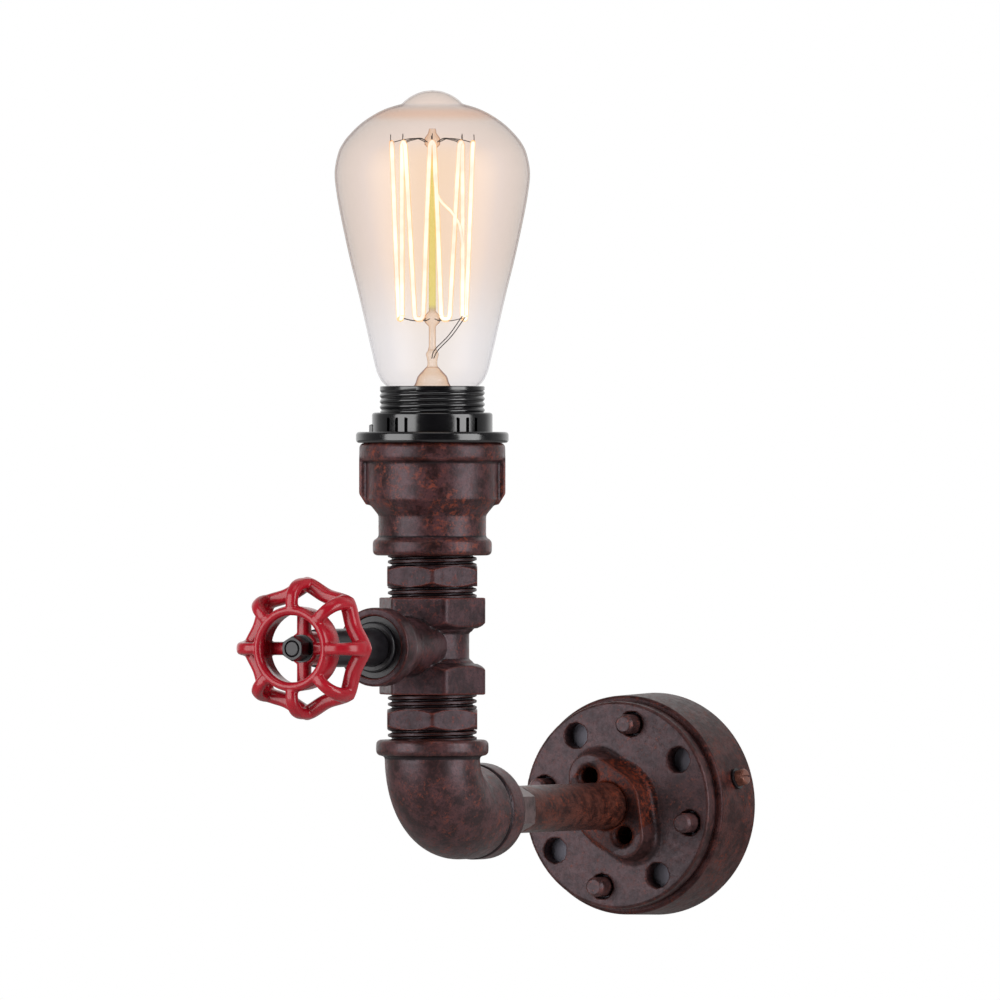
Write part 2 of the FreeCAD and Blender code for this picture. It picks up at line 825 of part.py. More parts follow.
def flange_plate():
    """Cast round flange with eight holes and an oval two-hole boss for the arm."""
    body = level_body("flange_plate", given.canopy_depth, roll=given.flange_roll)
    edge = given.flange_edge_radius
    thick = given.flange_thickness
    corners = [
        (0, 0),
        (given.flange_radius, 0),
        (given.flange_radius, thick - edge, edge, "left"),
        (given.flange_radius - edge, thick),
        (0, thick),
    ]
    turned(body, "disc", corners)
    middle = given.boss_middle_radius
    tip = given.boss_end_radius
    offset = given.boss_end_offset
    lean = (middle - tip) / offset
    rise = root(1 - lean * lean)
    boss = [
        (middle * rise, middle * lean),
        (tip * rise, offset + tip * lean, tip, "left"),
        (-(tip * rise), offset + tip * lean),
        (-(middle * rise), middle * lean, middle, "left"),
        (-(middle * rise), -(middle * lean)),
        (-(tip * rise), -(offset + tip * lean), tip, "left"),
        (tip * rise, -(offset + tip * lean)),
        (middle * rise, -(middle * lean), middle, "left"),
    ]
    top = thick + given.boss_height
    sketch = outline(body, "boss_outline", "XY_Plane", boss, top)
    feature = body.newObject("PartDesign::Pad", "boss")
    feature.Profile = sketch
    bind(feature, "Length", given.boss_height)
    feature.Reversed = True
    bind(feature, "TaperAngle", given.boss_draft)
    settle(body, feature)
    root_edges = []
    for number, edge_shape in enumerate(feature.Shape.Edges, start=1):
        box = edge_shape.BoundBox
        inside = box.XLength < value_of(given.flange_radius)
        level = box.ZLength < SAME_PLACE and abs(box.Center.z - value_of(thick)) < SAME_PLACE
        if inside and level:
            root_edges.append(f"Edge{number}")
    blend = body.newObject("PartDesign::Fillet", "boss_root")
    blend.Base = (feature, root_edges)
    bind(blend, "Radius", given.boss_root_radius)
    settle(body, blend)
    bolt_hole = [(given.bolt_circle_radius, 0, given.bolt_hole_radius)]
    hole = pocket(body, "bolt_hole", rounds(body, "bolt_hole_circle", "XY_Plane", bolt_hole),
                  thick * THROUGH, midplane=True)
    repeat_round(body, "bolt_holes", hole, FLANGE_HOLES)
    boss_holes = [(0, offset, given.boss_hole_radius), (0, -offset, given.boss_hole_radius)]
    pocket(body, "boss_holes", rounds(body, "boss_hole_circles", "XY_Plane", boss_holes, top),
           given.boss_hole_depth)
    mouth = given.boss_hole_mouth_radius
    mouths = [(0, offset, mouth), (0, -offset, mouth)]
    pocket(body, "boss_hole_mouths", rounds(body, "boss_mouth_circles", "XY_Plane", mouths, top),
           mouth - given.boss_hole_radius, taper=-45)
    arm_hole = [(0, 0, given.arm_radius + given.thread_fit)]
    pocket(body, "arm_hole", rounds(body, "arm_hole_circle", "XY_Plane", arm_hole), top * THROUGH, midplane=True)
    return body


def flange_studs():
    """Four round studs that stand on the canopy's face inside every other hole of the flange."""
    body = level_body("flange_studs", given.canopy_depth, roll=given.flange_roll + TURN / FLANGE_HOLES)
    shaft = [(given.bolt_circle_radius, 0, given.stud_radius)]
    shank = pad(body, "shank", rounds(body, "shank_circle", "XY_Plane", shaft),
                given.stud_height - given.stud_tip)
    repeat_round(body, "shanks", shank, FLANGE_STUDS)
    tip = pad(body, "tip", rounds(body, "tip_circle", "XY_Plane", shaft, given.stud_height - given.stud_tip),
              given.stud_tip, taper=-38)
    repeat_round(body, "tips", tip, FLANGE_STUDS)
    return body


# Arm

def arm_washer():
    body = level_body("arm_washer", canopy_inner_face - given.washer_thickness)
    circles = [(0, 0, given.washer_radius), (0, 0, given.arm_radius + given.thread_fit)]
    pad(body, "washer", rounds(body, "washer_circles", "XY_Plane", circles), given.washer_thickness)
    return body


def arm_locknut():
    """Thin hexagon nut that pulls canopy and flange together from inside."""
    body = level_body("arm_locknut", canopy_inner_face - given.washer_thickness - given.locknut_thickness)
    thick = given.locknut_thickness
    pad(body, "nut", outline(body, "nut_outline", "XY_Plane", hexagon_corners(given.locknut_flats, 0)), thick)
    trim_hexagon(body, "bevel", given.locknut_flats, given.locknut_flats / 2, as_size(0), 1)
    bore = [(0, 0, given.arm_radius + given.thread_fit)]
    pocket(body, "bore", rounds(body, "bore_circle", "XY_Plane", bore), thick * THROUGH, midplane=True)
    return body


def arm_pipe():
    """Bare pipe from inside the canopy to the hexagon adaptor."""
    body = level_body("arm_pipe", given.arm_inner_end)
    circles = [(0, 0, given.arm_radius), (0, 0, given.arm_bore_radius)]
    pad(body, "pipe", rounds(body, "pipe_circles", "XY_Plane", circles), arm_outer_end - given.arm_inner_end)
    return body


def arm_adaptor():
    """Hexagon stem with a spigot into the pipe and a thread into the elbow."""
    body = level_body("arm_adaptor", arm_outer_end)
    length = adaptor_shoulder
    hexagon = hexagon_corners(given.adaptor_flats, 0)
    pad(body, "hexagon", outline(body, "hexagon_outline", "XY_Plane", hexagon), length)
    trim_hexagon(body, "bevel", given.adaptor_flats, given.adaptor_flats / 2, as_size(0), 1)
    spigot = [(0, 0, given.arm_bore_radius - given.thread_fit)]
    pad(body, "spigot", rounds(body, "spigot_circle", "XY_Plane", spigot, -given.adaptor_spigot),
        given.adaptor_spigot + PAST)
    thread = given.adaptor_thread_radius
    end = length + given.adaptor_thread_length
    corners = [
        (0, length),
        (thread, length),
        (thread, end - given.thread_chamfer),
        (thread - given.thread_chamfer, end),
        (0, end),
    ]
    turned(body, "thread", corners)
    bore = [(0, 0, given.adaptor_bore_radius)]
    pocket(body, "bore", rounds(body, "bore_circle", "XY_Plane", bore), end * THROUGH, midplane=True)
    return body


# Upright

def elbow():
    """Cast reducing elbow, drawn about the crossing of its two axes."""
    body = upright_body("elbow", 0)
    bend = given.bend_radius

    quarter = TURN / 4
    barrel = new_sketch(body, "barrel_outline", "XY_Plane", bend)
    bind(barrel, "AttachmentOffset.Base.y", bend)
    add_circle(barrel, 0, -bend, given.elbow_radius)
    revolve(body, "barrel", barrel, axis="H_Axis", angle=quarter)
    bead = given.elbow_bead_radius
    soft = given.elbow_bead_rounding
    neck = given.elbow_neck_top
    top = given.elbow_top
    corners = [
        (0, bend),
        (given.elbow_radius, bend),
        (given.elbow_radius, neck),
        (bead - soft, neck, soft, "left"),
        (bead, neck + soft),
        (bead, top - soft, soft, "left"),
        (bead - soft, top),
        (0, top),
    ]
    turned(body, "upper_bead", corners)
    mouth = given.elbow_mouth_radius
    start = given.elbow_mouth - given.elbow_mouth_length
    floor = given.elbow_radius - given.elbow_groove_depth
    corners = [
        (bend, 0),
        (given.elbow_mouth, 0),
        (given.elbow_mouth, mouth - soft, soft, "left"),
        (given.elbow_mouth - soft, mouth),
        (start, mouth),
        (start, floor),
        (start - given.elbow_groove_width, floor),
        (start - given.elbow_groove_width, given.elbow_radius),
        (bend, given.elbow_radius),
    ]
    revolve(body, "side_bead", outline(body, "side_bead_outline", "YZ_Plane", corners), axis="H_Axis")
    waterway = new_sketch(body, "waterway_outline", "XY_Plane", bend)
    bind(waterway, "AttachmentOffset.Base.y", bend)
    add_circle(waterway, 0, -bend, given.bore_radius)
    groove(body, "waterway", waterway, axis="H_Axis", angle=quarter)
    socket = top - given.thread_engaged - given.soft_gap
    corners = [
        (0, socket),
        (engaged_radius, socket),
        (engaged_radius, top + PAST),
        (0, top + PAST),
    ]
    groove(body, "upper_socket", outline(body, "upper_socket_outline", "XZ_Plane", corners))
    depth = given.elbow_mouth - given.adaptor_thread_length - given.soft_gap
    beyond = given.elbow_mouth + PAST
    corners = [
        (bend, 0),
        (beyond, 0),
        (beyond, adaptor_thread_bore),
        (depth, adaptor_thread_bore),
        (depth, given.bore_radius),
        (bend, given.bore_radius),
    ]
    groove(body, "side_socket", outline(body, "side_socket_outline", "YZ_Plane", corners), axis="H_Axis")
    return body


def hexagon_nipple(label, height, shown_below, shown_above):
    """Hexagon nipple, drawn with the lower face of its hexagon at its origin."""
    body = upright_body(label, height, roll=given.fittings_roll)
    hexagon = given.nipple_hex_height
    pad(body, "hexagon",
        outline(body, "hexagon_outline", "XY_Plane", hexagon_corners(given.nipple_flats, 0)), hexagon)
    face_radius = given.nipple_flats / 2
    trim_hexagon(body, "upper_bevel", given.nipple_flats, face_radius, hexagon, -1)
    trim_hexagon(body, "lower_bevel", given.nipple_flats, face_radius, as_size(0), 1)
    crest = given.thread_crest_radius
    base = given.thread_root_radius
    soft = given.thread_chamfer
    low_face = -shown_below
    low_end = low_face - given.thread_engaged
    high_face = hexagon + shown_above
    high_end = high_face + given.thread_engaged
    corners = [
        (given.bore_radius, low_end),
        (base - soft, low_end),
        (base, low_end + soft),
        (base, low_face),
        (crest, low_face),
        (crest, high_face),
        (base, high_face),
        (base, high_end - soft),
        (base - soft, high_end),
        (given.bore_radius, high_end),
    ]
    turned(body, "threads", corners)
    bore = [(0, 0, given.bore_radius)]
    pocket(body, "bore", rounds(body, "bore_circle", "XY_Plane", bore), high_end * THROUGH, midplane=True)
    return body


def tee():
    """Valve body with hexagon ends and a branch for the valve, drawn about the crossing of its axes."""
    body = upright_body("tee", branch_height)
    half = given.tee_height / 2
    hexagon = hexagon_corners(given.tee_flats, given.tee_hex_roll)
    pad(body, "hexagons", outline(body, "hexagons_outline", "XY_Plane", hexagon), given.tee_height,
        midplane=True)
    reach = given.tee_flats / (2 * CORNER_SHARE) + PAST
    band = half - given.tee_hex_height
    shoulder = band - given.tee_shoulder_drop
    waist = given.tee_body_radius
    soft = (given.tee_shoulder_radius - waist) / 2
    corners = [
        (waist, -(shoulder - soft), soft, "right"),
        (waist + soft, -shoulder),
        (given.tee_shoulder_radius, -shoulder),
        (reach, -band),
        (reach, band),
        (given.tee_shoulder_radius, shoulder),
        (waist + soft, shoulder, soft, "right"),
        (waist, shoulder - soft),
    ]
    groove(body, "waist", outline(body, "waist_outline", "XZ_Plane", corners))
    face_radius = given.tee_flats / 2
    trim_hexagon(body, "upper_bevel", given.tee_flats, face_radius, half, -1)
    trim_hexagon(body, "lower_bevel", given.tee_flats, face_radius, -half, 1)
    rim = given.branch_rim_radius
    end = given.branch_length
    edge = given.branch_rounding
    rim_back = end - given.branch_rim_length
    neck = given.branch_neck_radius
    corners = [
        (0, 0),
        (0, neck),
        (-given.branch_neck_end, neck),
        (-rim_back, rim),
        (-(end - edge), rim, edge, "left"),
        (-end, rim - edge),
        (-end, 0),
    ]
    revolve(body, "branch", outline(body, "branch_outline", "YZ_Plane", corners), axis="H_Axis")
    socket = half - given.thread_engaged - given.soft_gap
    corners = [
        (0, -(half + PAST)),
        (engaged_radius, -(half + PAST)),
        (engaged_radius, -socket),
        (given.bore_radius, -socket),
        (given.bore_radius, socket),
        (engaged_radius, socket),
        (engaged_radius, half + PAST),
        (0, half + PAST),
    ]
    groove(body, "upright_bore", outline(body, "upright_bore_outline", "XZ_Plane", corners))
    thread = given.branch_thread_radius + given.thread_fit
    seat = given.switch_radius + given.thread_fit
    corners = [
        (0, 0),
        (0, seat),
        (-bonnet_back, seat),
        (-bonnet_back, thread),
        (-(end + PAST), thread),
        (-(end + PAST), 0),
    ]
    groove(body, "branch_bore", outline(body, "branch_bore_outline", "YZ_Plane", corners), axis="H_Axis")
    return body


def reducer_socket():
    """Cast reducing socket with two side ribs, drawn from its lower face."""
    body = upright_body("reducer_socket", reducer_bottom, roll=given.fittings_roll)
    bead = given.reducer_bead_radius
    soft = given.reducer_rounding
    bead_top = given.reducer_bead_height
    neck = given.reducer_neck_radius
    wide = given.reducer_body_radius
    band = given.reducer_band_radius
    top = given.reducer_height
    band_bottom = top - given.reducer_band_height
    corners = [
        (0, 0),
        (bead - soft, 0, soft, "left"),
        (bead, soft),
        (bead, bead_top - soft, soft, "left"),
        (bead - soft, bead_top),
        (neck, bead_top),
        (neck, given.reducer_neck_top),
        (wide, given.reducer_cone_top),
        (wide, band_bottom),
        (band - soft, band_bottom, soft, "left"),
        (band, band_bottom + soft),
        (band, top - soft, soft, "left"),
        (band - soft, top),
        (0, top),
    ]
    turned(body, "casting", corners)
    rib = given.rib_radius
    corners = [
        (-wide, given.rib_bottom),
        (0, given.rib_bottom),
        (wide, given.rib_bottom),
        (rib, given.rib_bottom + given.rib_taper),
        (rib, band_bottom + soft),
        (-rib, band_bottom + soft),
        (-rib, given.rib_bottom + given.rib_taper),
    ]
    pad(body, "ribs", outline(body, "ribs_outline", "XZ_Plane", corners), given.rib_width, midplane=True)
    cavity = given.holder_body_radius + given.soft_gap
    floor = top + given.ring_thickness - given.holder_depth
    socket = given.thread_engaged + given.soft_gap
    corners = [
        (0, -PAST),
        (engaged_radius, -PAST),
        (engaged_radius, socket),
        (given.bore_radius, socket),
        (given.bore_radius, floor),
        (cavity, floor),
        (cavity, top + PAST),
        (0, top + PAST),
    ]
    groove(body, "cavity", outline(body, "cavity_outline", "XZ_Plane", corners))
    return body


# Valve

def bonnet():
    """Threaded plug in the branch with a raised ring around the gland."""
    body = level_body("bonnet", given.stack_reach, branch_height)
    back = bonnet_back
    front = given.branch_length - given.bonnet_recess
    ring = front + given.bonnet_ring_height
    soft = given.bonnet_ring_height / 4
    corners = [
        (0, back),
        (given.branch_thread_radius, back),
        (given.branch_thread_radius, front),
        (given.bonnet_ring_radius, front),
        (given.bonnet_ring_radius, ring - soft),
        (given.bonnet_ring_radius - soft, ring),
        (0, ring),
    ]
    turned(body, "plug", corners)
    sleeve = given.sleeve_radius + given.thread_fit
    stem = given.spindle_radius + given.running_fit
    floor = ring - given.sleeve_engaged
    corners = [
        (0, back - PAST),
        (stem, back - PAST),
        (stem, floor),
        (sleeve, floor),
        (sleeve, ring + PAST),
        (0, ring + PAST),
    ]
    groove(body, "gland_bore", outline(body, "gland_bore_outline", "XZ_Plane", corners))
    return body


def gland_sleeve():
    """Long round sleeve from the bonnet to the back of the handwheel."""
    body = level_body("gland_sleeve", given.stack_reach, branch_height)
    ring = given.branch_length - given.bonnet_recess + given.bonnet_ring_height
    start = ring - given.sleeve_engaged
    end = given.hub_back - given.wheel_gap
    soft = given.thread_chamfer / 2
    stem = given.spindle_radius + given.running_fit
    corners = [
        (stem, start),
        (given.sleeve_radius, start),
        (given.sleeve_radius, end - soft),
        (given.sleeve_radius - soft, end),
        (stem, end),
    ]
    turned(body, "sleeve", corners)
    return body


def switch_body():
    """Rotary switch behind the bonnet, with a socket for the spindle."""
    body = level_body("switch_body", given.stack_reach, branch_height)
    socket = given.spindle_radius + given.running_fit
    floor = switch_front - given.switch_socket_depth
    corners = [
        (0, switch_back),
        (given.switch_radius, switch_back),
        (given.switch_radius, switch_front),
        (socket, switch_front),
        (socket, floor),
        (0, floor),
    ]
    turned(body, "switch", corners)
    return body


def switch_tails():
    """Two short wires that join the switch to the two ends of the live lead."""
    body = level_body("switch_tails", given.stack_reach, branch_height)
    start = given.lead_radius + given.thread_fit
    half = given.tail_spacing / 2
    places = [(given.pole_offset, half, given.tail_radius), (given.pole_offset, -half, given.tail_radius)]
    pad(body, "tails", rounds(body, "tail_circles", "XY_Plane", places, start), switch_back - start)
    return body


def valve_spindle():
    """Spindle that turns the switch, with a collar behind the bonnet and a stem for the handwheel."""
    body = level_body("valve_spindle", given.stack_reach, branch_height)
    tip = given.stem_end
    soft = given.stem_radius / 5
    back = switch_front - given.switch_socket_depth + given.soft_gap
    corners = [
        (0, back),
        (given.spindle_radius, back),
        (given.spindle_radius, collar_back),
        (given.collar_radius, collar_back),
        (given.collar_radius, collar_back + given.collar_thickness),
        (given.spindle_radius, collar_back + given.collar_thickness),
        (given.spindle_radius, given.hub_back),
        (given.stem_radius, given.hub_back),
        (given.stem_radius, tip - soft),
        (given.stem_radius - soft, tip),
        (0, tip),
    ]
    turned(body, "spindle", corners)
    return body


def rim_path(body):
    """The middle line of the rim: eight rounded tips joined by eight slightly hollow sides."""
    bend = given.rim_tip_bend
    tip_centre = given.rim_tip_radius - bend
    middle = given.rim_middle_radius
    share = math.cos(math.radians(TURN / FACING / 2))
    above = tip_centre * tip_centre + middle * middle - tip_centre * middle * (2 * share) - bend * bend
    side = above / ((bend + tip_centre * share - middle) * 2)
    centre = middle + side
    part = bend / (bend + side)
    corners = []
    for number in range(FACING):
        angle = number * TURN / FACING
        before = angle - TURN / FACING / 2
        after = angle + TURN / FACING / 2
        tip_x = tip_centre * math.cos(math.radians(angle))
        tip_y = tip_centre * math.sin(math.radians(angle))
        for sweep_side, radius, way in ((before, bend, "left"), (after, side, "right")):
            side_x = centre * math.cos(math.radians(sweep_side))
            side_y = centre * math.sin(math.radians(sweep_side))
            corners.append((tip_x + (side_x - tip_x) * part, tip_y + (side_y - tip_y) * part, radius, way))
    return chain(new_sketch(body, "rim_path", "XY_Plane", given.rim_plane), corners, True)


def handwheel():
    """Cast handwheel: a hub with four spokes, a deep inner ring, eight limbs and an eight-sided rim."""
    body = level_body("handwheel", given.stack_reach, branch_height)
    rounding = given.hub_rounding
    corners = [
        (0, given.hub_back),
        (given.hub_radius, given.hub_back),
        (given.hub_radius, given.hub_front - rounding),
        (given.hub_radius - rounding, given.hub_front),
        (0, given.hub_front),
    ]
    turned(body, "hub", corners)
    half = given.spoke_width / 2
    across = (given.ring_inner_radius + given.ring_outer_radius) / 2
    depth = given.hub_front - given.spoke_back
    for name, sketch_corners in (("level_spokes", box_corners(-across, across, -half, half)),
                                 ("upright_spokes", box_corners(-half, half, -across, across))):
        pad(body, name, outline(body, f"{name}_outline", "XY_Plane", sketch_corners, given.spoke_back), depth)
    back = given.hub_front - depth / 2
    soft = (given.ring_outer_radius - given.ring_inner_radius) / 3
    corners = [
        (given.ring_inner_radius, back),
        (given.ring_outer_radius, back),
        (given.ring_outer_radius, given.ring_front - soft, soft, "left"),
        (given.ring_outer_radius - soft, given.ring_front),
        (given.ring_inner_radius + soft, given.ring_front, soft, "left"),
        (given.ring_inner_radius, given.ring_front - soft),
    ]
    turned(body, "inner_ring", corners)
    bar = given.rim_bar_radius
    limb = [
        (across, given.limb_back),
        (given.rim_tip_radius - bar, given.rim_plane - bar / 2),
        (given.rim_tip_radius, given.rim_plane),
        (given.rim_tip_radius - bar / 2, given.rim_plane + bar),
        (across, given.limb_front),
    ]
    arm = pad(body, "limb", outline(body, "limb_outline", "XZ_Plane", limb), given.limb_width, midplane=True)
    repeat_round(body, "limbs", arm, FACING)
    path = rim_path(body)
    doc.recompute()
    profile = rounds(body, "rim_circle", "XZ_Plane", [(given.rim_tip_radius, given.rim_plane, bar)])
    sweep(body, "rim", profile, path)
    bore = [(0, 0, given.stem_radius + given.thread_fit)]
    pocket(body, "bore", rounds(body, "bore_circle", "XY_Plane", bore), given.hub_front * THROUGH, midplane=True)
    return body


def wheel_washer():
    body = level_body("wheel_washer", given.stack_reach + given.hub_front, branch_height)
    circles = [(0, 0, given.wheel_washer_radius), (0, 0, given.stem_radius + given.thread_fit)]
    pad(body, "washer", rounds(body, "washer_circles", "XY_Plane", circles), given.wheel_washer_thickness)
    return body


def wheel_nut():
    """Hexagon nut on the end of the spindle."""
    start = given.stack_reach + given.hub_front + given.wheel_washer_thickness
    body = level_body("wheel_nut", start, branch_height)
    flats = given.wheel_nut_flats
    height = given.wheel_nut_height
    pad(body, "nut", outline(body, "nut_outline", "XY_Plane", hexagon_corners(flats, 0)), height)
    trim_hexagon(body, "bevel", flats, flats / 2, height, -1)
    bore = [(0, 0, given.stem_radius + given.thread_fit)]
    pocket(body, "bore", rounds(body, "bore_circle", "XY_Plane", bore), height * THROUGH, midplane=True)
    return body


# Lampholder

def holder_ring():
    """Moulded disc between the reducing socket and the lampholder."""
    body = upright_body("holder_ring", ring_bottom)
    soft = given.ring_rounding
    outer = given.ring_radius
    hole = given.holder_body_radius + given.soft_gap
    thick = given.ring_thickness
    corners = [
        (hole, 0),
        (outer - soft, 0, soft, "left"),
        (outer, soft),
        (outer, thick - soft, soft, "left"),
        (outer - soft, thick),
        (hole, thick),
    ]
    turned(body, "ring", corners)
    return body


def lampholder_shell():
    """Moulded outer shell: a body inside the socket, a collar and a threaded skirt for a shade."""
    body = upright_body("lampholder_shell", holder_collar_bottom)
    collar = given.holder_collar_radius
    soft = given.holder_collar_chamfer
    floor = -given.holder_depth
    corners = [
        (given.holder_lip_radius, floor),
        (given.holder_body_radius, floor),
        (given.holder_body_radius, 0),
        (collar, 0),
        (collar, given.holder_collar_height - soft),
        (collar - soft, given.holder_collar_height),
        (given.skirt_thread_radius, given.holder_collar_height),
        (given.skirt_thread_radius, given.skirt_top - soft),
        (given.skirt_thread_radius - soft, given.skirt_top),
        (given.skirt_bore_radius, given.skirt_top),
        (given.skirt_bore_radius, floor + given.holder_lip),
        (given.holder_lip_radius, floor + given.holder_lip),
    ]
    turned(body, "shell", corners)
    return body


def holder_base():
    """Insulating floor of the lampholder."""
    body = upright_body("holder_base", holder_collar_bottom + holder_floor - given.holder_base_height)
    places = [(0, 0, given.holder_base_radius)]
    pad(body, "disc", rounds(body, "disc_circle", "XY_Plane", places), given.holder_base_height)
    return body


def screw_shell():
    """Brass shell with a foot ring that takes the cap of the bulb."""
    body = upright_body("screw_shell", holder_collar_bottom + holder_floor)
    inner = given.shell_inner_radius
    outer = inner + given.shell_thickness
    foot = given.shell_foot_thickness
    corners = [
        (inner, 0),
        (given.shell_foot_radius, 0),
        (given.shell_foot_radius, foot),
        (outer, foot),
        (outer, given.shell_height),
        (inner, given.shell_height),
    ]
    turned(body, "shell", corners)
    return body


def centre_contact():
    body = upright_body("centre_contact", holder_collar_bottom + holder_floor)
    places = [(0, 0, given.contact_radius)]
    pad(body, "contact", rounds(body, "contact_circle", "XY_Plane", places), given.contact_height)
    return body


def holder_terminals():
    """Two brass terminals under the floor of the lampholder."""
    bottom = holder_collar_bottom + holder_floor - given.holder_base_height - given.terminal_height
    body = upright_body("holder_terminals", bottom)
    half_width = given.terminal_width / 2
    half_depth = given.terminal_depth / 2
    offset = given.pole_offset
    for side, centre in (("right", offset), ("left", -offset)):
        corners = box_corners(centre - half_width, centre + half_width, -half_depth, half_depth)
        pad(body, f"{side}_terminal", outline(body, f"{side}_terminal_outline", "XY_Plane", corners),
            given.terminal_height)
    entry = given.lead_radius + given.thread_fit
    holes = [(offset, 0, entry), (-offset, 0, entry)]
    pocket(body, "entries", rounds(body, "entry_circles", "XY_Plane", holes), given.lead_grip, upwards=True)
    return body


# Leads

def lead(label, side, switched):
    """Insulated wire from the terminal block through arm, elbow and upright to the lampholder."""
    body = doc.addObject("PartDesign::Body", label)
    across = given.pole_offset * side
    start = given.block_bottom + given.lead_grip
    first = given.lead_first_bend
    depth = given.lead_depth
    bend = given.bend_radius
    terminals = holder_collar_bottom + holder_floor - given.holder_base_height - given.terminal_height
    end = terminals + given.lead_grip - given.thread_fit
    path = chain(new_sketch(body, "lead_path", "YZ_Plane", across), [
        (-depth, start),
        (-depth, first, first, "right"),
        (-(depth + first), 0),
        (bend - given.stack_reach, 0, bend, "right"),
        (-given.stack_reach, bend),
        (-given.stack_reach, end),
    ], False)
    profile = rounds(body, "lead_circle", "XY_Plane", [(across, -depth, given.lead_radius)], start)
    sweep(body, "lead", profile, path)
    if switched:
        half = given.tail_spacing / 2 - given.tail_radius
        reach = given.lead_radius * 2
        cut = box_corners(-given.stack_reach - reach, -given.stack_reach + reach,
                          branch_height - half, branch_height + half)
        pocket(body, "switch_cut", outline(body, "switch_cut_outline", "YZ_Plane", cut),
               given.bore_radius * 2, midplane=True)
    return body


# Lamp bulb

def bulb_body(label):
    return upright_body(label, bulb_height)


def cap_tip():
    body = bulb_body("cap_tip")
    places = [(0, 0, given.cap_tip_radius)]
    pad(body, "tip", rounds(body, "tip_circle", "XY_Plane", places), given.cap_tip_height)
    return body


def cap_insulator():
    """Glass cone between the centre contact and the threaded cap."""
    body = bulb_body("cap_insulator")
    bottom = given.cap_tip_height
    corners = [
        (0, bottom),
        (given.cap_tip_radius, bottom),
        (given.insulator_radius, given.insulator_top),
        (0, given.insulator_top),
    ]
    turned(body, "cone", corners)
    return body


def bulb_cap():
    """Threaded brass cap."""
    body = bulb_body("bulb_cap")
    wall = given.cap_wall
    bottom = given.insulator_top
    soft = given.cap_radius - given.insulator_radius
    corners = [
        (0, bottom),
        (given.insulator_radius, bottom),
        (given.cap_radius, bottom + soft),
        (given.cap_radius, given.cap_top),
        (given.cap_radius - wall, given.cap_top),
        (given.cap_radius - wall, bottom + soft),
        (given.insulator_radius - wall, bottom + wall),
        (0, bottom + wall),
    ]
    turned(body, "cap", corners)
    return body


def bulb_glass():
    """Blown glass envelope: a straight flaring wall, a round shoulder and a small tip."""
    body = bulb_body("bulb_glass")
    wall = given.glass_wall
    flare = given.glass_flare_bend
    shoulder = given.glass_shoulder_bend
    crown = given.glass_crown_bend
    slant = wall * cosine(45)
    corners = [
        (given.glass_neck_radius, given.glass_neck_bottom),
        (given.glass_neck_radius, glass_neck_top),
        (given.glass_rim_radius, glass_rim_height, flare, "left"),
        (given.glass_flare_radius, glass_flare_height),
        (given.glass_shoulder_radius, glass_shoulder_height, shoulder, "left"),
        (given.glass_crown_radius, glass_crown_height, crown, "left"),
        (given.glass_tip_base_radius, glass_tip_base_height),
        (given.glass_tip_radius, glass_tip_height),
        (0, glass_tip_height + given.glass_tip_end),
        (0, glass_tip_height - wall),
        (given.glass_tip_base_radius, glass_tip_base_height - wall, crown - wall, "right"),
        (given.glass_crown_radius - slant, glass_crown_height - slant, shoulder - wall, "right"),
        (given.glass_shoulder_radius - wall, glass_shoulder_height),
        (given.glass_flare_radius - wall, glass_flare_height + slant / 2, flare - wall, "right"),
        (given.glass_rim_radius - slant, glass_rim_height + slant),
        (given.glass_neck_radius - wall, glass_neck_top + slant),
        (given.glass_neck_radius - wall, given.glass_neck_bottom),
    ]
    turned(body, "envelope", corners)
    return body


def glass_stem():
    """Inner glass: a flared foot, a pinch that holds the wires and a rod with two buttons."""
    body = bulb_body("glass_stem")
    foot = given.stem_foot_radius
    rod = given.stem_rod_radius
    button = given.stem_button_radius
    low = given.lower_hook_height
    high = upper_hook_height
    top = high + given.stem_rod_end
    corners = [
        (0, given.stem_foot_height),
        (foot, given.stem_foot_height),
        (foot, given.stem_foot_height + given.stem_foot_edge),
        (given.stem_dome_radius, given.stem_dome_height),
        (given.stem_pinch_radius, given.stem_pinch_height),
        (given.stem_pinch_radius, given.stem_rod_bottom - rod),
        (rod, given.stem_rod_bottom),
        (rod, low - button),
        (button, low - button / 2),
        (button, low + button / 2),
        (rod, low + button),
        (rod, high - button),
        (button, high - button / 2),
        (button, high + button / 2),
        (rod, high + button),
        (rod, top),
        (0, top),
    ]
    turned(body, "stem", corners)
    return body


def spider(label, height, reach, roll, count):
    """Fine support wires that spread from a button of the stem to the bends of the filament."""
    body = upright_body(label, bulb_height + height, roll=roll)
    inner = given.stem_button_radius
    wire = [(0, 0, given.support_radius)]
    profile = rounds(body, "wire_circle", "YZ_Plane", wire, inner)
    arm = pad(body, "wire", profile, reach - inner - given.filament_radius - given.thread_fit)
    span = TURN if count == HOOKS else TURN / HOOKS * (count - 1)
    repeat_round(body, "wires", arm, count, angle=span)
    return body


def lead_in_wires():
    """Two wires from the pinch of the stem to the two ends of the filament."""
    body = upright_body("lead_in_wires", bulb_height, roll=lower_hook_roll - TURN / HOOKS)
    thick = given.support_radius
    start_radius = given.stem_pinch_radius + thick
    start = given.stem_pinch_height
    end_radius = given.lower_hook_radius
    end = given.lower_hook_height - given.filament_radius
    corners = [
        (start_radius - thick, start),
        (start_radius + thick, start),
        (end_radius + thick, end),
        (end_radius - thick, end),
    ]
    half = given.lower_hook_width / 2
    for side, lift in (("left", half), ("right", -half)):
        wire = outline(body, f"{side}_wire_outline", "XZ_Plane", corners, lift)
        pad(body, f"{side}_wire", wire, thick * 2, midplane=True)
    return body


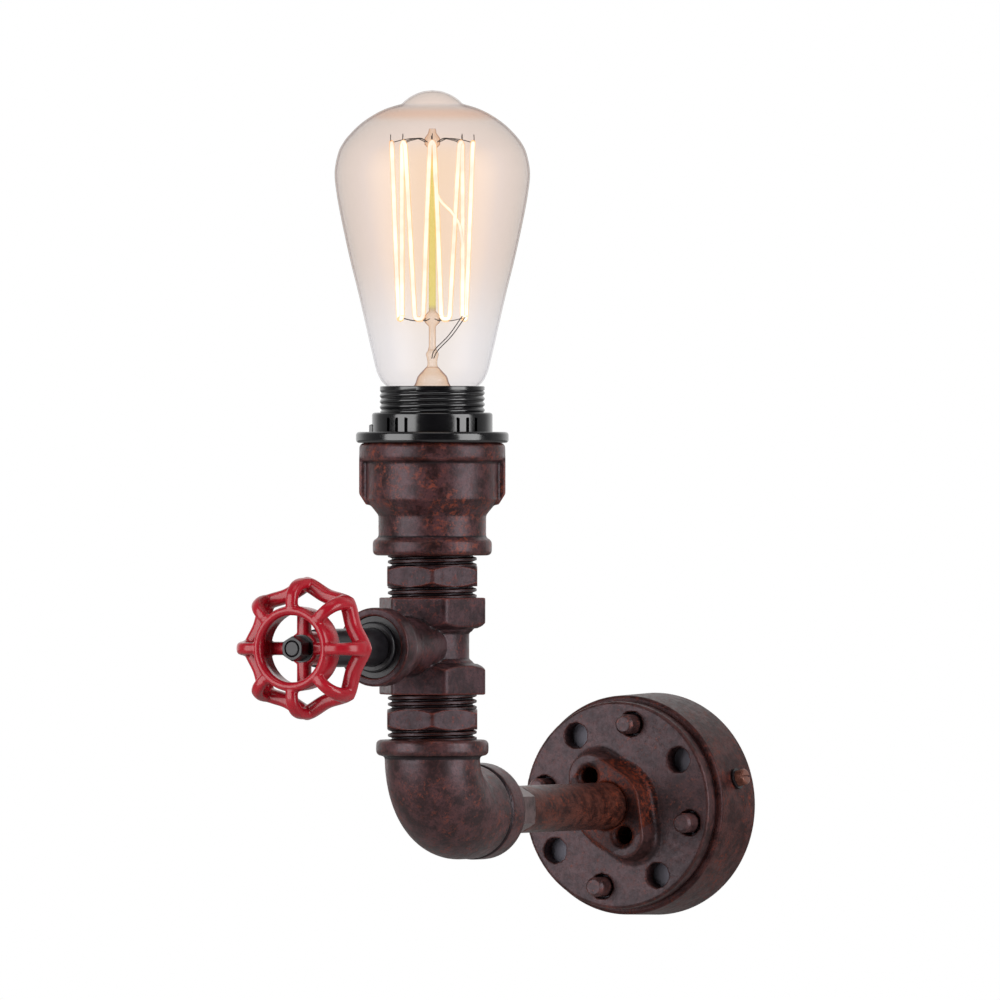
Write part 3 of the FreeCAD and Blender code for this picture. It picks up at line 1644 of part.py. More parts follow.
def filament():
    """One wire that runs up and down around the stem from hook to hook, open between its two ends."""
    body = upright_body("filament", bulb_height, roll=lower_hook_roll)
    low = given.lower_hook_radius
    high = given.upper_hook_radius
    bottom = given.lower_hook_height
    thick = given.filament_radius
    half = given.lower_hook_width / 2
    step = TURN / HOOKS
    summit = (high * cosine(step / 2), high * sine(step / 2), thick)
    feet = (
        ("rising", (low, half, thick)),
        ("falling", (low * cosine(step) + half * sine(step), low * sine(step) - half * cosine(step), thick)),
    )
    for way, foot in feet:
        lower = rounds(body, f"{way}_foot_circle", "XY_Plane", [foot], bottom - thick / 2)
        upper = rounds(body, f"{way}_top_circle", "XY_Plane", [summit], upper_hook_height)
        strand = loft(body, f"{way}_strand", lower, upper)
        repeat_round(body, f"{way}_strands", strand, HOOKS)
    bend = rounds(body, "lower_bend_circle", "XZ_Plane", [(low, bottom, thick)])
    lower_bend = pad(body, "lower_bend", bend, given.lower_hook_width + thick * 2, midplane=True)
    repeat_round(body, "lower_bends", lower_bend, HOOKS - 1, angle=step * (HOOKS - 2))
    return body


def build_light():
    """Builds every sub-part and gives them back in order from the wall to the bulb."""
    return [
        mounting_plate(),
        terminal_block(),
        terminal_screws(),
        block_screw(),
        earth_washer(),
        earth_screw(),
        wall_canopy(),
        canopy_side_screws(),
        flange_plate(),
        flange_studs(),
        arm_washer(),
        arm_locknut(),
        arm_pipe(),
        arm_adaptor(),
        elbow(),
        hexagon_nipple("lower_nipple", lower_nipple_height, given.lower_thread_shown,
                       given.lower_thread_above),
        tee(),
        hexagon_nipple("upper_nipple", upper_nipple_height, given.upper_thread_shown,
                       given.upper_thread_above),
        reducer_socket(),
        bonnet(),
        gland_sleeve(),
        switch_body(),
        switch_tails(),
        valve_spindle(),
        handwheel(),
        wheel_washer(),
        wheel_nut(),
        holder_ring(),
        lampholder_shell(),
        holder_base(),
        screw_shell(),
        centre_contact(),
        holder_terminals(),
        lead("live_lead", 1, switched=True),
        lead("neutral_lead", -1, switched=False),
        cap_tip(),
        cap_insulator(),
        bulb_cap(),
        bulb_glass(),
        glass_stem(),
        spider("upper_supports", upper_hook_height, given.upper_hook_radius, upper_hook_roll, HOOKS),
        spider("lower_supports", given.lower_hook_height, given.lower_hook_radius, lower_hook_roll,
               HOOKS - 1),
        lead_in_wires(),
        filament(),
    ]


def write_parts(bodies):
    """Checks every object, then writes one STEP file for each sub-part."""
    doc.recompute()
    for thing in doc.Objects:
        if "Invalid" in thing.State or "Error" in thing.State:
            raise ValueError(f"{thing.Name} is in the state {thing.State}")
    os.makedirs("parts", exist_ok=True)
    for body in bodies:
        if body.Shape.isNull() or not body.Shape.isValid():
            raise ValueError(f"{body.Label} has no sound shape")
        body.Shape.exportStep(f"parts/{body.Label}.step")


fill_sheet()
write_parts(build_light())
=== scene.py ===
import math

import bmesh
import bpy
from mathutils import Matrix, Vector


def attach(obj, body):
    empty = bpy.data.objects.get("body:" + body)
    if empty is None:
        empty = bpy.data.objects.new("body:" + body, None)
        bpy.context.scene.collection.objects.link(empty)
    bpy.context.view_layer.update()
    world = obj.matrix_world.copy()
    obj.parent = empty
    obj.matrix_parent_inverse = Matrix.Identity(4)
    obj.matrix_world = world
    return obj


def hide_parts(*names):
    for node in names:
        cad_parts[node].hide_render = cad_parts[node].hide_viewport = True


# A wall light of pipe fittings: antique painted castings, a red enamelled handwheel and a lit bulb.
# Shapes are worked out in millimetres in the frame of the CAD model and stored in metres.

MM = 0.001
# How far the upright stands from the wall, and how high the handwheel's spindle lies
REACH = 181.6
BRANCH = 62.3
# How far the fittings' flats and the camera are turned from straight ahead
FACING = math.radians(28)
SIXTH = math.radians(60)
# Angles in degrees: edges sharper than the first stay edges, faces flatter than the second are one
SHARP = 35
FLAT = 0.4

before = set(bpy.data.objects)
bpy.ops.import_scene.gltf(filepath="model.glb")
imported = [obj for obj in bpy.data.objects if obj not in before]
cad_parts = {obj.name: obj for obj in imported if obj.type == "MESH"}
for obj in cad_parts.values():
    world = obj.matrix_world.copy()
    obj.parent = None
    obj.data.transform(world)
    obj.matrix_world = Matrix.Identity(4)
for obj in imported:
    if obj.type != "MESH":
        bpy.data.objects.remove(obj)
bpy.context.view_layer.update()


# Shapes

def upright(radius, turn, height):
    """A point round the axis of the upright."""
    return Vector((radius * math.cos(turn), radius * math.sin(turn) - REACH, height))


def turns(count, first=0.0):
    """Angles that share a full turn evenly."""
    return [first + math.tau * step / count for step in range(count)]


def skin(rings):
    """Joins each ring of points to the next, and the last to the first.

    A ring of one point closes an end, and two such rings aren't joined."""
    shape = bmesh.new()
    rows = [[shape.verts.new(point * MM) for point in ring] for ring in rings]
    for here, there in zip(rows, rows[1:] + rows[:1]):
        count = max(len(here), len(there))
        for step in range(count):
            after = (step + 1) % count
            corners = [here[step % len(here)], here[after % len(here)],
                       there[after % len(there)], there[step % len(there)]]
            face = list(dict.fromkeys(corners))
            if len(face) > 2:
                shape.faces.new(face)
    bmesh.ops.recalc_face_normals(shape, faces=shape.faces)
    return shape


def rings_round(columns, levels, start=0.0, side=1):
    """Rings of points round the upright, with a point at each turn of the columns.

    A level is a height over the start, or under it for side -1, and a radius, which is a number
    or a function of the turn and the height."""
    return [[upright(radius(turn, height) if callable(radius) else radius, turn,
                     start + side * height) for turn in columns]
            for height, radius in levels]


def tube(path, radius):
    """A closed round wire along a path."""
    rings = [[path[0]]]
    side = None
    for step, point in enumerate(path):
        ahead = path[min(step + 1, len(path) - 1)] - path[max(step - 1, 0)]
        ahead.normalize()
        if side is None:
            side = ahead.orthogonal().normalized()
        side = (side - ahead * side.dot(ahead)).normalized()
        other = ahead.cross(side)
        rings.append([point + (side * math.cos(turn) + other * math.sin(turn)) * radius
                      for turn in turns(8)])
    return skin(rings + [[path[-1]]])


def smooth_path(corners, steps):
    """A curve through the corners, with some points between each two."""
    points = []
    padded = [corners[0] * 2 - corners[1]] + corners + [corners[-1] * 2 - corners[-2]]
    for before, start, end, after in zip(padded, padded[1:], padded[2:], padded[3:]):
        for step in range(steps):
            share = step / steps
            points.append(0.5 * (start * 2 + (end - before) * share
                                 + (before * 2 - start * 5 + end * 4 - after) * share ** 2
                                 + (start * 3 - before - end * 3 + after) * share ** 3))
    return points + [corners[-1]]


def steps_between(low, high, step):
    """Heights from low to high, none further apart than the step."""
    count = max(1, math.ceil((high - low) / step))
    return [low + (high - low) * number / count for number in range(count + 1)]


def join_shapes(shapes):
    """One shape from several."""
    whole = bmesh.new()
    for shape in shapes:
        mesh = bpy.data.meshes.new("part")
        shape.to_mesh(mesh)
        shape.free()
        whole.from_mesh(mesh)
        bpy.data.meshes.remove(mesh)
    return whole


def mark_edges(shape, limit):
    """Shades the shape smoothly, except over edges sharper than the limit in degrees."""
    for face in shape.faces:
        face.smooth = True
    for edge in shape.edges:
        if len(edge.link_faces) == 2:
            edge.smooth = edge.calc_face_angle() < math.radians(limit)


def piece_from(name, shape, limit=SHARP):
    """Makes an object of a shape that is already in place."""
    mark_edges(shape, limit)
    mesh = bpy.data.meshes.new(name)
    shape.to_mesh(mesh)
    shape.free()
    piece = bpy.data.objects.new(name, mesh)
    bpy.context.scene.collection.objects.link(piece)
    return piece


def bake(piece):
    """Turns an object's modifiers into plain mesh."""
    bpy.context.view_layer.update()
    seen = piece.evaluated_get(bpy.context.evaluated_depsgraph_get())
    mesh = bpy.data.meshes.new_from_object(seen)
    piece.modifiers.clear()
    piece.data = mesh
    return piece


def finish_piece(piece, body, slot, material, *nodes):
    """Gives a piece its material and its body, and puts it in the place of its CAD nodes."""
    piece.data.materials.clear()
    piece.data.materials.append(material)
    for face in piece.data.polygons:
        face.material_index = 0
    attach(piece, body)
    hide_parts(*nodes)
    return piece


def repaint(piece, material, picks):
    """Gives one more material to the faces that the test picks by their middle in millimetres."""
    piece.data.materials.append(material)
    added = len(piece.data.materials) - 1
    for face in piece.data.polygons:
        if picks(face.center / MM):
            face.material_index = added


def shape_of(node):
    """The shape of a CAD node with its loose triangles joined up."""
    shape = bmesh.new()
    shape.from_mesh(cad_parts[node].data)
    bmesh.ops.remove_doubles(shape, verts=shape.verts, dist=0.001 * MM)
    return shape


def machined(node, body, slot, material, edge):
    """A turned, milled or pressed piece: the CAD shape with its sharp edges broken, in mm."""
    shape = shape_of(node)
    bmesh.ops.dissolve_limit(shape, angle_limit=math.radians(FLAT), verts=shape.verts,
                             edges=shape.edges)
    piece = piece_from(f"{node}_dressed", shape)
    if edge:
        bevel = piece.modifiers.new("edges", "BEVEL")
        bevel.width = edge * MM
        bevel.segments = 2
        bevel.limit_method = "ANGLE"
        bevel.angle_limit = math.radians(40)
        bevel.use_clamp_overlap = True
        bake(piece)
        shape = bmesh.new()
        shape.from_mesh(piece.data)
        mark_edges(shape, SHARP)
        shape.to_mesh(piece.data)
        shape.free()
        shading = piece.modifiers.new("even_shading", "WEIGHTED_NORMAL")
        shading.keep_sharp = True
        bake(piece)
    return finish_piece(piece, body, slot, material, node)


def cast_shape(piece, cell, softness, grain):
    """Melts a shape into one skin with softened corners and the fine grain of the mould.

    The cell of the skin's mesh and the grain are in mm; softness is a number of smoothings."""
    remesh = piece.modifiers.new("cells", "REMESH")
    remesh.mode = "VOXEL"
    remesh.voxel_size = cell * MM
    remesh.use_smooth_shade = True
    smooth = piece.modifiers.new("corners", "SMOOTH")
    smooth.factor = 0.5
    smooth.iterations = softness
    if grain:
        sand = bpy.data.textures.new(f"{piece.name}_sand", "CLOUDS")
        sand.noise_scale = 1.3 * MM
        sand.noise_depth = 2
        rough = piece.modifiers.new("grain", "DISPLACE")
        rough.texture = sand
        rough.texture_coords = "LOCAL"
        rough.strength = grain * MM
        rough.mid_level = 0.5
    return bake(piece)


def cast(node, body, slot, material, cell, softness, grain):
    """A casting that follows its CAD shape."""
    piece = cast_shape(piece_from(f"{node}_casting", shape_of(node)), cell, softness, grain)
    return finish_piece(piece, body, slot, material, node)


# Materials

def colour(code):
    """Turns a #rrggbb colour into the linear values that shaders take."""
    values = [int(code[place:place + 2], 16) / 255 for place in (1, 3, 5)]
    return [value / 12.92 if value <= 0.04045 else ((value + 0.055) / 1.055) ** 2.4
            for value in values] + [1]


def add(tree, kind, settings=None, inputs=None):
    """Adds a node with its own settings; inputs are values or the sockets that feed them."""
    node = tree.nodes.new(kind)
    for field, value in (settings or {}).items():
        if field == "stops":
            ramp = node.color_ramp.elements
            while len(ramp) < len(value):
                ramp.new(0.5)
            for stop, (place, tone) in zip(ramp, value):
                stop.position = place
                stop.color = colour(tone) if isinstance(tone, str) else (tone, tone, tone, 1)
        else:
            setattr(node, field, value)
    for label, value in (inputs or {}).items():
        if isinstance(value, bpy.types.NodeSocket):
            tree.links.new(value, node.inputs[label])
        else:
            node.inputs[label].default_value = value
    return node


def new_material(name):
    """Starts a material and gives its tree and the place of each point on the piece."""
    material = bpy.data.materials.new(name)
    material.use_nodes = True
    material.node_tree.nodes.clear()
    place = add(material.node_tree, "ShaderNodeTexCoord").outputs["Object"]
    return material, material.node_tree, place


def show(tree, surface):
    """Ends a material with its surface."""
    add(tree, "ShaderNodeOutputMaterial", None, {"Surface": surface})


def blend(tree, factor, first, second):
    """The mixed colour of two colours or sockets."""
    node = add(tree, "ShaderNodeMix", {"data_type": "RGBA"}, {0: factor, 6: first, 7: second})
    return node.outputs[2]


def noise(tree, place, length, detail=4.0, roughness=0.6):
    """Cloudy noise whose features are about this many millimetres long."""
    node = add(tree, "ShaderNodeTexNoise", None,
               {"Vector": place, "Scale": 1 / (length * MM), "Detail": detail,
                "Roughness": roughness})
    return node.outputs["Fac"]


def ease(tree, value, low, high, start=0.0, end=1.0):
    """Runs smoothly from start to end as the value goes from low to high."""
    node = add(tree, "ShaderNodeMapRange", {"interpolation_type": "SMOOTHSTEP"},
               {"Value": value, "From Min": low, "From Max": high, "To Min": start, "To Max": end})
    return node.outputs["Result"]


def reckon(tree, operation, *values):
    """One sum on numbers or sockets."""
    node = add(tree, "ShaderNodeMath", {"operation": operation}, dict(enumerate(values)))
    return node.outputs["Value"]


def hump(tree, height, low, full, fading, high):
    """Rises to 1 from the height low to full and falls back from fading to high, all in mm."""
    return reckon(tree, "MULTIPLY", ease(tree, height, low * MM, full * MM),
                  ease(tree, height, fading * MM, high * MM, 1.0, 0.0))


def antique_iron(name, dark, ground, rust, rust_share, gloss, rubbed=0.7, shielded=0.0,
                 shine=0.42):
    """Iron under rubbed antique paint: red-brown clouds over black, specks of rust, worn edges and
    painted shade in concave corners.

    Rubbed is how much rust the edges show. Nearer to the wall axis than shielded, in mm, the
    sheet lies under the flange and is grey."""
    material, tree, place = new_material(name)
    cloud = noise(tree, place, 7, 8.0, 0.74)
    patch = noise(tree, place, 2.2, 6.0, 0.75)
    speck = noise(tree, place, 0.9, 3.0, 0.7)
    cluster = noise(tree, place, 13, 2.0)
    paint = blend(tree, ease(tree, cloud, 0.4, 0.6), colour(dark), colour(ground))
    pits = ease(tree, speck, 0.36, 0.46, 0.6, 0.0)
    paint = blend(tree, pits, paint, colour("#0d0809"))
    speckled = reckon(tree, "MULTIPLY_ADD", speck, 0.35, reckon(tree, "MULTIPLY", patch, 0.65))
    start = 0.58 - 0.18 * rust_share
    worn = ease(tree, speckled, start, start + 0.12, 0.0, 0.8)
    worn = reckon(tree, "MULTIPLY", worn, ease(tree, cluster, 0.4, 0.6, 0.2, 1.2))
    if rubbed:
        pointed = add(tree, "ShaderNodeNewGeometry").outputs["Pointiness"]
        ragged = reckon(tree, "MULTIPLY_ADD", speck, 0.05,
                        reckon(tree, "SUBTRACT", pointed, 0.025))
        worn = reckon(tree, "MAXIMUM", worn, ease(tree, ragged, 0.512, 0.55, 0.0, rubbed))
        paint = blend(tree, worn, paint, colour(rust))
        # Painted shade: concave corners, where pointiness is low, are darkened to near black
        crease_shade = ease(tree, ragged, 0.465, 0.495, 0.9, 0.0)
        paint = blend(tree, crease_shade, paint, colour("#080506"))
    else:
        paint = blend(tree, worn, paint, colour(rust))
    if shielded:
        level = add(tree, "ShaderNodeVectorMath", {"operation": "MULTIPLY"},
                    {0: place, 1: (1, 0, 1)})
        reach = add(tree, "ShaderNodeVectorMath", {"operation": "LENGTH"},
                    {0: level.outputs["Vector"]})
        covered = ease(tree, reach.outputs["Value"], shielded * MM, (shielded + 0.5) * MM,
                       1.0, 0.0)
        paint = blend(tree, covered, paint, colour("#66666f"))
    bump = add(tree, "ShaderNodeBump", None,
               {"Strength": 0.6, "Distance": 0.06 * MM, "Height": noise(tree, place, 0.9)})
    surface = add(tree, "ShaderNodeBsdfPrincipled", None,
                  {"Base Color": paint,
                   "Roughness": ease(tree, patch, 0.3, 0.7, gloss - 0.06, gloss + 0.12),
                   "Specular IOR Level": shine, "Specular Tint": colour("#efdce6"),
                   "Normal": bump.outputs["Normal"]})
    show(tree, surface.outputs["BSDF"])
    return material


def plain_finish(name, tone, roughness, metallic=0.0, mottle=0.0, pattern=3.0, coat=0.0,
                 specular=0.5):
    """A plain finish whose colour and gloss wander a little over the surface."""
    material, tree, place = new_material(name)
    cloud = noise(tree, place, pattern, 5.0)
    base = colour(tone)
    deep = [value * (1 - mottle) for value in base[:3]] + [1]
    high = [min(1.0, value * (1 + mottle)) for value in base[:3]] + [1]
    tint = blend(tree, ease(tree, cloud, 0.3, 0.7), deep, high)
    surface = add(tree, "ShaderNodeBsdfPrincipled", None,
                  {"Base Color": tint, "Metallic": metallic,
                   "Roughness": ease(tree, cloud, 0.3, 0.7, roughness * 0.9, roughness * 1.15),
                   "Coat Weight": coat, "Coat Roughness": 0.12, "Specular IOR Level": specular})
    show(tree, surface.outputs["BSDF"])
    return material


def blown_glass(name, tints, polish, clear_below=None, painted_reflection_band=None, lit=None):
    """Thin glass that tints what is behind it, more towards the rim, and mirrors softly.

    Heights are in mm. The tint clears between the heights of clear_below. The band, a painted
    reflection of the filament's glow, is a low, a middle and a high height and its colour; the
    light, a painted glow in the glass, is a colour, two heights and a strength."""
    material, tree, place = new_material(name)
    facing = add(tree, "ShaderNodeLayerWeight", None, {"Blend": 0.5}).outputs["Facing"]
    tint = add(tree, "ShaderNodeValToRGB", {"stops": tints}, {"Fac": facing}).outputs["Color"]
    height = add(tree, "ShaderNodeSeparateXYZ", None, {"Vector": place}).outputs["Z"]
    if clear_below:
        low, high = clear_below
        cleared = ease(tree, height, low * MM, high * MM, 0.7, 0.0)
        tint = blend(tree, cleared, tint, colour("#fbfbfc"))
    if painted_reflection_band:
        # Painted reflection: a peach band of the filament's glow, mixed into the tint between its
        # heights
        low, middle, high, tone = painted_reflection_band
        band = hump(tree, height, low, middle, middle, high)
        tint = blend(tree, reckon(tree, "MULTIPLY", band, 0.22), tint, colour(tone))
    clear = add(tree, "ShaderNodeBsdfTransparent", None, {"Color": tint})
    mirror = add(tree, "ShaderNodeBsdfGlossy", None,
                 {"Color": colour("#dfe6f4"), "Roughness": polish})
    grazing = reckon(tree, "POWER", facing, 5.0)
    surface = add(tree, "ShaderNodeMixShader", None,
                  {0: reckon(tree, "MULTIPLY_ADD", grazing, 0.25, 0.017),
                   1: clear.outputs["BSDF"], 2: mirror.outputs["BSDF"]}).outputs["Shader"]
    # Painted glow: the glass shines between two heights through an emission, as if lit by the
    # filament around it
    if lit:
        tone, low, high, strength = lit
        span = hump(tree, height, low, low + 4, high - 4, high)
        glow = add(tree, "ShaderNodeEmission", None,
                   {"Color": colour(tone), "Strength": reckon(tree, "MULTIPLY", span, strength)})
        surface = add(tree, "ShaderNodeMixShader", None,
                      {0: reckon(tree, "MULTIPLY", span, 0.55), 1: surface,
                       2: glow.outputs["Emission"]}).outputs["Shader"]
    show(tree, surface)
    return material


def glowing_wire(name, hot, cool, strength):
    """Lit carbon filament: white in the middle of the wire, amber where it turns away."""
    material, tree, place = new_material(name)
    facing = add(tree, "ShaderNodeLayerWeight", None, {"Blend": 0.5}).outputs["Facing"]
    tint = blend(tree, ease(tree, facing, 0.15, 0.75), colour(hot), colour(cool))
    cloud = noise(tree, place, 9, 2.0)
    glow = ease(tree, cloud, 0.3, 0.7, strength * 0.85, strength * 1.15)
    surface = add(tree, "ShaderNodeBsdfPrincipled", None,
                  {"Base Color": colour("#3a2a20"), "Roughness": 0.5, "Emission Color": tint,
                   "Emission Strength": glow})
    show(tree, surface.outputs["BSDF"])
    return material


# Castings: red-brown and black paint with a satin shine, rust specks and rubbed edges
iron_flange = antique_iron("cast_iron_rubbed_antique_paint", "#241514", "#472e2e", "#733a2b",
                           rust_share=0.3, gloss=0.38, rubbed=0.2)
iron_boss = antique_iron("cast_iron_rusty_antique_paint_boss", "#1c0d0c", "#3d201b", "#74301b",
                         rust_share=0.6, gloss=0.42, rubbed=0.5, shine=0.25)
iron_elbow = antique_iron("cast_iron_dark_antique_paint", "#241312", "#4b2e2f", "#723626",
                          rust_share=0.4, gloss=0.36, rubbed=0.6, shine=0.55)
iron_tee = antique_iron("cast_iron_brown_antique_paint", "#221415", "#452e31", "#6a3128",
                        rust_share=0.4, gloss=0.36, shine=0.36)
iron_reducer = antique_iron("cast_iron_rusty_antique_paint", "#241211", "#4a2e30", "#7c3a27",
                            rust_share=0.5, gloss=0.35)
iron_nipple = antique_iron("malleable_iron_antique_paint", "#2a1c1e", "#49373b", "#73362a",
                           rust_share=0.35, gloss=0.36, shine=0.25)
# Pressed and drawn steel under the same paint, smoother than the castings, without rusty edges
canopy_paint = antique_iron("pressed_steel_rubbed_antique_paint", "#281413", "#472927", "#6e3020",
                            rust_share=0.4, gloss=0.4, rubbed=0.0, shielded=37.0, shine=0.22)
pipe_paint = antique_iron("drawn_steel_pipe_antique_paint", "#2a1410", "#562f26", "#783622",
                          rust_share=0.4, gloss=0.34, rubbed=0.0)
stud_paint = antique_iron("steel_studs_antique_paint", "#2e1e1e", "#533b3c", "#7e4336",
                          rust_share=0.45, gloss=0.36, rubbed=0.0)
# Black paint of the cut threads; the same dark paint, laid in bands along grooves and gaps, is
# painted shade
thread_paint_and_crease_shade = antique_iron("cut_thread_black_paint_and_painted_crease_shade", "#0c0809", "#1c1214", "#4a241e",
                            rust_share=0.15, gloss=0.36)
# Milled steel whose paint is worn thin
worn_steel = plain_finish("milled_steel_worn_paint", "#5d4c4c", 0.3, metallic=0.3, mottle=0.4,
                          pattern=4.0)
# The handwheel's enamel is deep and glossy
red_enamel = plain_finish("cast_metal_red_enamel", "#a81626", 0.26, mottle=0.06, pattern=9.0,
                          coat=0.25, specular=0.3)
# Turned steel blackened in an oxide bath
black_steel = plain_finish("turned_steel_black_oxide", "#1a181c", 0.32, metallic=0.2, mottle=0.3,
                           pattern=2.0)
# Moulded black thermoset of the lampholder, and the pale moulding of its insulating pieces
black_moulding = plain_finish("thermoset_black_moulding", "#09080b", 0.17, mottle=0.15,
                              specular=0.8)
ivory = plain_finish("insulating_moulding_ivory", "#d8d2c2", 0.45, mottle=0.05)
# Bare and plated metals
copper_paint = plain_finish("slotted_screw_copper_finish", "#7a4a3c", 0.34, metallic=0.4,
                            mottle=0.2, pattern=2.0)
zinc = plain_finish("pressed_steel_zinc_plating", "#a9a8a4", 0.32, metallic=1.0, mottle=0.12,
                    pattern=2.5)
brass = plain_finish("turned_brass", "#b58c4a", 0.28, metallic=1.0, mottle=0.12, pattern=2.0)
solder = plain_finish("soft_solder", "#b9b8b2", 0.35, metallic=1.0, mottle=0.15, pattern=1.5)
fine_wire = plain_finish("nickel_support_wire", "#4a4441", 0.35, metallic=0.9, mottle=0.2,
                         pattern=1.5)
# Sheaths of the inner wires
brown_sheath = plain_finish("wire_sheath_brown", "#5c3420", 0.4, mottle=0.08)
blue_sheath = plain_finish("wire_sheath_blue", "#2c5590", 0.4, mottle=0.08)
# Black glass that insulates the bulb's cap
black_glass = plain_finish("insulating_black_glass", "#0d0c10", 0.08, mottle=0.1)
# Faint amber in front of the filament, grey-beige beside it, a thin brown line at the rim, and a
# peach band near the top as a painted reflection of the filament's glow
lamp_glass = blown_glass("blown_glass_faint_amber",
                         [(0.0, "#fef6ee"), (0.13, "#fdf6f0"), (0.3, "#faf5f2"),
                          (0.82, "#f5f1ee"), (0.93, "#d8ccc2"), (1.0, "#8f7d6e")],
                         0.42, clear_below=(172, 212), painted_reflection_band=(257.5, 261, 264.5, "#f9dcc6"))
# The stem's rod carries a painted glow of the filament's light between the hooks
stem_glass = blown_glass("pressed_stem_glass",
                         [(0.0, "#fcf5ee"), (0.5, "#f8e9da"), (1.0, "#a07868")],
                         0.06, lit=("#eeea86", 186, 247, 1.0))
filament_glow = glowing_wire("lit_carbon_filament", "#fffaf0", "#ffc27a", 1.25)


# Where one paint ends and the next begins, and where black bands of painted shade lie: distances
# from an axis, depths and heights

SHADED_SLEEVE_END = 43.8
BOSS_REACH = 17.8
FLANGE_SHADE_BACK, FLANGE_SHADE_EDGE = -28.1, 38.6
ELBOW_SHADE_HEIGHTS = ((20.2, 21.5),)
ELBOW_SHADE_DEPTHS = ((-151.9, -150.0),)
REDUCER_SHADE_HEIGHTS = ((130.9, 131.8), (102.9, 103.6))
REDUCER_SHADE_REACH = 25.2


def within(value, spans):
    """Whether the value lies in one of the spans."""
    return any(low < value < high for low, high in spans)


def from_wall_axis(point):
    """How far a point lies from the axis of the pipe in the wall."""
    return math.hypot(point.x, point.z)


def from_upright(point):
    """How far a point lies from the axis of the upright."""
    return math.hypot(point.x, point.y + REACH)


# Wall end
machined("mounting_plate", "fixed", "zinc_steel", zinc, 0.15)
machined("terminal_block", "fixed", "white_plastic", ivory, 0.2)
machined("terminal_screws", "fixed", "brass", brass, 0.1)
machined("block_screw", "fixed", "zinc_steel", zinc, 0.1)
machined("earth_washer", "fixed", "brass", brass, 0.1)
machined("earth_screw", "fixed", "brass", brass, 0.15)
machined("wall_canopy", "fixed", "dark_paint", canopy_paint, 0.2)
side_screws = machined("canopy_side_screws", "fixed", "copper_screw", copper_paint, 0.15)
# Painted shade: the screws' sleeves inside the canopy's holes are painted black as the shade in
# each hole
repaint(side_screws, black_steel, lambda middle: from_wall_axis(middle) < SHADED_SLEEVE_END)
flange = cast("flange_plate", "fixed", "dark_iron", iron_flange, cell=0.6, softness=2, grain=0.06)
repaint(flange, iron_boss, lambda middle: from_wall_axis(middle) < BOSS_REACH)
# Painted shade: the back of the flange's rim, in the gap before the canopy, is painted black
repaint(flange, thread_paint_and_crease_shade,
        lambda middle: middle.y > FLANGE_SHADE_BACK and from_wall_axis(middle) > FLANGE_SHADE_EDGE)
machined("flange_studs", "fixed", "dark_paint", stud_paint, 0.15)
machined("arm_washer", "fixed", "zinc_steel", zinc, 0.1)
machined("arm_locknut", "fixed", "brass", brass, 0.2)
machined("arm_pipe", "fixed", "dark_paint", pipe_paint, 0.2)
machined("arm_adaptor", "fixed", "dark_paint", worn_steel, 0.3)

# Upright
elbow = cast("elbow", "fixed", "dark_iron", iron_elbow, cell=0.6, softness=3, grain=0.07)
# Painted shade: black bands under the upper bead and in the groove before the wall-side bead
repaint(elbow, thread_paint_and_crease_shade,
        lambda middle: within(middle.z, ELBOW_SHADE_HEIGHTS)
        or within(middle.y, ELBOW_SHADE_DEPTHS))
reducer = cast("reducer_socket", "fixed", "dark_iron", iron_reducer, cell=0.6, softness=3,
               grain=0.06)
# Painted shade: two thin black bands in the grooves round the reducer's body, short of its ribs
repaint(reducer, thread_paint_and_crease_shade,
        lambda middle: from_upright(middle) < REDUCER_SHADE_REACH
        and within(middle.z, REDUCER_SHADE_HEIGHTS))


def hexagon_radius(flats, roll, turn, inside):
    """The reach of a spanner hexagon with blunted corners, one of whose flats looks along the roll.

    Its corners are turned away at 30 degrees over the distance inside from its end."""
    blunting = 0.3
    lean = (turn - roll + SIXTH / 2) % SIXTH - SIXTH / 2
    blunted = min(flats / 2 / math.cos(lean), flats / math.sqrt(3) - blunting)
    return min(blunted, flats / 2 + inside * math.sqrt(3))


def tee_hexagon(side):
    """One of the tee's hexagons: a square outer end, corners turned away at the inner end."""
    flats, roll = 36.2, math.radians(41.7)
    inner, outer = 7.2, 18.1
    hollow, hollow_end, foot = 16.4, 9.4, 14.0

    def hexagon(turn, away):
        return hexagon_radius(flats, roll, turn, away - inner)

    levels = [(outer, hollow), (hollow_end, hollow), (inner, foot)]
    levels += [(away, hexagon) for away in steps_between(inner, outer, 0.4)]
    return skin(rings_round(turns(144, roll), levels, BRANCH, side))


def tee():
    """The cast tee with its two hexagons standing a little proud of the body."""
    shape = join_shapes([shape_of("tee"), tee_hexagon(1), tee_hexagon(-1)])
    piece = cast_shape(piece_from("tee_casting", shape), cell=0.45, softness=2, grain=0.05)
    finish_piece(piece, "fixed", "dark_iron", iron_tee, "tee")


